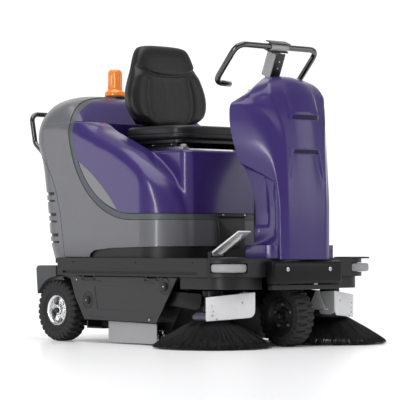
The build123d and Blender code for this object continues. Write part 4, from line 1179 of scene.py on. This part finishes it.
# ---- handlebar, stem, beacon and grab bar
# the stem leans back toward the driver; its cover sits on the face turned away from the driver
stem_up = Vector((48, 0, 116)).normalized()
stem_out = Vector((stem_up.z, 0, -stem_up.x))
stem_face = Vector((480, 0, 1090)) + stem_out * 26.2
cover_line = rounded([(-24, 4), (24, 4), (24, 106), (-24, 106)], 3)
build("stem_cover", [outline_solid(stem_face, (0, 1, 0), stem_up, cover_line, 3.2)], FRAME_PAINT, "steering",
      bevel=0.8)
stem_screws = [head(stem_face + stem_out * 3.2 + stem_up * h, stem_out, 3.4, 1.6) for h in (44, 72)]
build("stem_screws", stem_screws, STEEL, "steering")

bar_x, bar_z, bar_half, hook = 528, 1206, 222, 84
low = (bar_x - 134, bar_z - 144)
grip_line = [(low[0] - 4, hook - bar_half, low[1] - 4), (low[0], -bar_half, low[1]),
             (bar_x, -bar_half, bar_z), (bar_x, bar_half, bar_z), (low[0], bar_half, low[1]),
             (low[0] - 4, bar_half - hook, low[1] - 4)]
bar_tube = build("bar_tube", [tube(grip_line, 12.4, 24, bend=46)], GLOSS_TUBE, "steering", angle=60)
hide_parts("handlebar")
sleeve = [(12.6, -46), (16.5, -46), (17.5, -44), (17.5, 44), (16.5, 46), (12.6, 46)]
sleeve_obj = build("clamp_sleeve", [lathe((bar_x, 0, bar_z), (0, 1, 0), sleeve, 64)], STEM_GREY, "steering",
                   angle=50)
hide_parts("bar_clamp")
bar_middle = Vector((bar_x, 0, bar_z))
clamp_line = rounded([(-54, -24), (54, -24), (54, 12), (46, 17), (-46, 17), (-54, 12)], 2)
plates = [outline_solid(bar_middle + stem_up * h, (0, 1, 0), -stem_out, [(a, -b) for a, b in clamp_line], 4)
          for h in (-19.5, 15.5)]
build("clamp_plates", plates, FRAME_PAINT, "steering", bevel=0.8)


BEACON_X = -517


def flutes(radius, along, turn):
    """Upright flutes around the beacon's lens."""
    wave = 0.5 + 0.5 * math.cos(turn * 20)
    return radius + (1.1 * wave if 12 < along < 92 and radius > 29 else 0), along


dome = [(27, -12), (43, -12), (46, -10), (46, 2), (43, 7), (35, 11), (31.8, 16), (31.2, 40), (31, 66),
        (30.6, 88), (29.5, 96), (26, 101.5), (20, 104.5), (10, 105.8), (0.01, 106), (0.01, 102), (24, 98),
        (27, 90)]
beacon = build("beacon_dome", [lathe((BEACON_X, 0, 1074), UP, dome, 120, flutes)], ORANGE, "chassis",
               angle=50)
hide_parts("beacon_lens")
lamp = [(0.01, 0), (22, 0), (22, 10), (14, 14), (12, 60), (9, 70), (0.01, 72)]
build("beacon_lamp", [lathe((BEACON_X, 0, 1076), UP, lamp, 32)], WHITE_PAINT, "chassis")
base = [(0.01, 0), (50, 0), (50, 9), (48, 12), (0.01, 12)]
base_obj = build("beacon_foot", [lathe((BEACON_X, 0, 1048), UP, base, 64)], BLACK, "chassis")
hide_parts("beacon_base")


# ---- footwell and seat hardware
tongue = rounded([(-92, 398), (26, 398), (44, 518), (-110, 518)], [16, 16, 6, 6])
build("footwell_tongue", [outline_solid((276, 0, 0), (0, 1, 0), UP, tongue, 9)], DARK, "chassis", bevel=2.5)
well_screws = [head((299, y, 529), (1, 0, 0), 4.0, 2.0) for y in (-92, 28)]
build("footwell_screws", well_screws, STEEL, "chassis")
rail_bolts = [head((x, s * 182.4, 824), (0, s, 0), 5.5, 3.2) for s in (-1, 1) for x in (-150, -40, 80)]
build("rail_bolts", rail_bolts, STEEL, "seat")

# a thin curved shell on the back of the backrest: height, x at the middle, half width
SHELL_ROWS = [(918, -198, 150), (960, -203, 178), (1010, -209, 190), (1080, -218, 176), (1150, -229, 150),
              (1215, -239, 124), (1240, -243, 100)]
ACROSS = 21
verts = [Vector((x - back + 10 * abs(y / half) ** 3, y, z)) for back in (0, 5) for z, x, half in SHELL_ROWS
         for y in np.linspace(-half, half, ACROSS)]
behind = len(SHELL_ROWS) * ACROSS
faces = []
for r in range(len(SHELL_ROWS) - 1):
    for c in range(ACROSS - 1):
        a = r * ACROSS + c
        b = behind + a
        faces += [(a, a + 1, a + ACROSS + 1, a + ACROSS), (b + ACROSS, b + ACROSS + 1, b + 1, b)]
for r in range(len(SHELL_ROWS) - 1):
    for a in (r * ACROSS, r * ACROSS + ACROSS - 1):
        faces.append((a, a + ACROSS, behind + a + ACROSS, behind + a))
for c in range(ACROSS - 1):
    for a in (c, (len(SHELL_ROWS) - 1) * ACROSS + c):
        faces.append((a, behind + a, behind + a + 1, a + 1))
build("backrest_shell", [(verts, faces)], BLACK, "seat", bevel=1.5)


# ---- floor, light and camera
def floor():
    """A pale floor that reaches past the picture."""
    corners = [(x, y, -0.0005) for x, y in ((-30, -30), (30, -30), (30, 30), (-30, 30))]
    pale = material("floor", (0.93, 0.93, 0.935), rough=0.32, edge=0.0, tint_vary=0.004, rough_vary=0.02,
                    spec=0.35)
    mesh_object("floor", corners, [(0, 1, 2, 3)], pale)


floor()
DISTANCE, AZIMUTH, EYE = 9.0, math.radians(48.7), 0.407


def studio_world():
    """Pale surround with a bright wall behind the object, as seen from the camera's side."""
    world = bpy.data.worlds.new("studio")
    bpy.context.scene.world = world
    world.use_nodes = True
    nodes, links = world.node_tree.nodes, world.node_tree.links
    background = nodes["Background"]
    background.inputs["Color"].default_value = (1.0, 1.0, 1.0, 1)
    coords = nodes.new("ShaderNodeTexCoord")
    facing = nodes.new("ShaderNodeVectorMath")
    facing.operation = "DOT_PRODUCT"
    facing.inputs[1].default_value = (-math.sin(AZIMUTH), math.cos(AZIMUTH), 0.0)
    links.new(coords.outputs["Generated"], facing.inputs[0])
    wall = map_range(world.node_tree, facing.outputs["Value"], 0.30, 1.12, 0.35, 0.90, smooth=True)
    links.new(wall, background.inputs["Strength"])


studio_world()


def area_light(name, location, target, size, power):
    """A rectangular light aimed at a target."""
    light = bpy.data.lights.new(name, "AREA")
    light.shape = "RECTANGLE"
    light.size, light.size_y = size
    light.energy = power
    obj = bpy.data.objects.new(name, light)
    bpy.context.collection.objects.link(obj)
    obj.location = location
    direction = Vector(target) - Vector(location)
    obj.rotation_euler = direction.to_track_quat("-Z", "Y").to_euler()


def overhead():
    """A broad soft light from straight above, even over the whole floor."""
    light = bpy.data.lights.new("overhead", "SUN")
    light.energy = 2.45
    light.angle = math.radians(65)
    obj = bpy.data.objects.new("overhead", light)
    bpy.context.collection.objects.link(obj)
    obj.rotation_euler = (math.radians(8), math.radians(10), 0)


overhead()
area_light("corner_strip", (1.45, -4.8, 1.5), (0.0, -0.2, 0.6), (0.55, 3.2), 88)
area_light("front_fill", (4.4, 3.4, 1.9), (0.5, 0, 0.6), (2.4, 2.6), 34)
area_light("side_fill", (-4.2, -3.7, 1.15), (-0.2, -0.3, 0.6), (2.2, 1.7), 19)

camera_data = bpy.data.cameras.new("camera")
camera = bpy.data.objects.new("camera", camera_data)
bpy.context.collection.objects.link(camera)
camera.location = (DISTANCE * math.sin(AZIMUTH) + 0.05, -DISTANCE * math.cos(AZIMUTH), EYE)
camera.rotation_euler = (math.radians(90), 0, AZIMUTH)
camera_data.sensor_width = 36.0
camera_data.lens = 192.6
camera_data.shift_y = 0.1125
camera_data.clip_end = 200.0
bpy.context.scene.camera = camera
bpy.context.scene.view_settings.view_transform = "Standard"
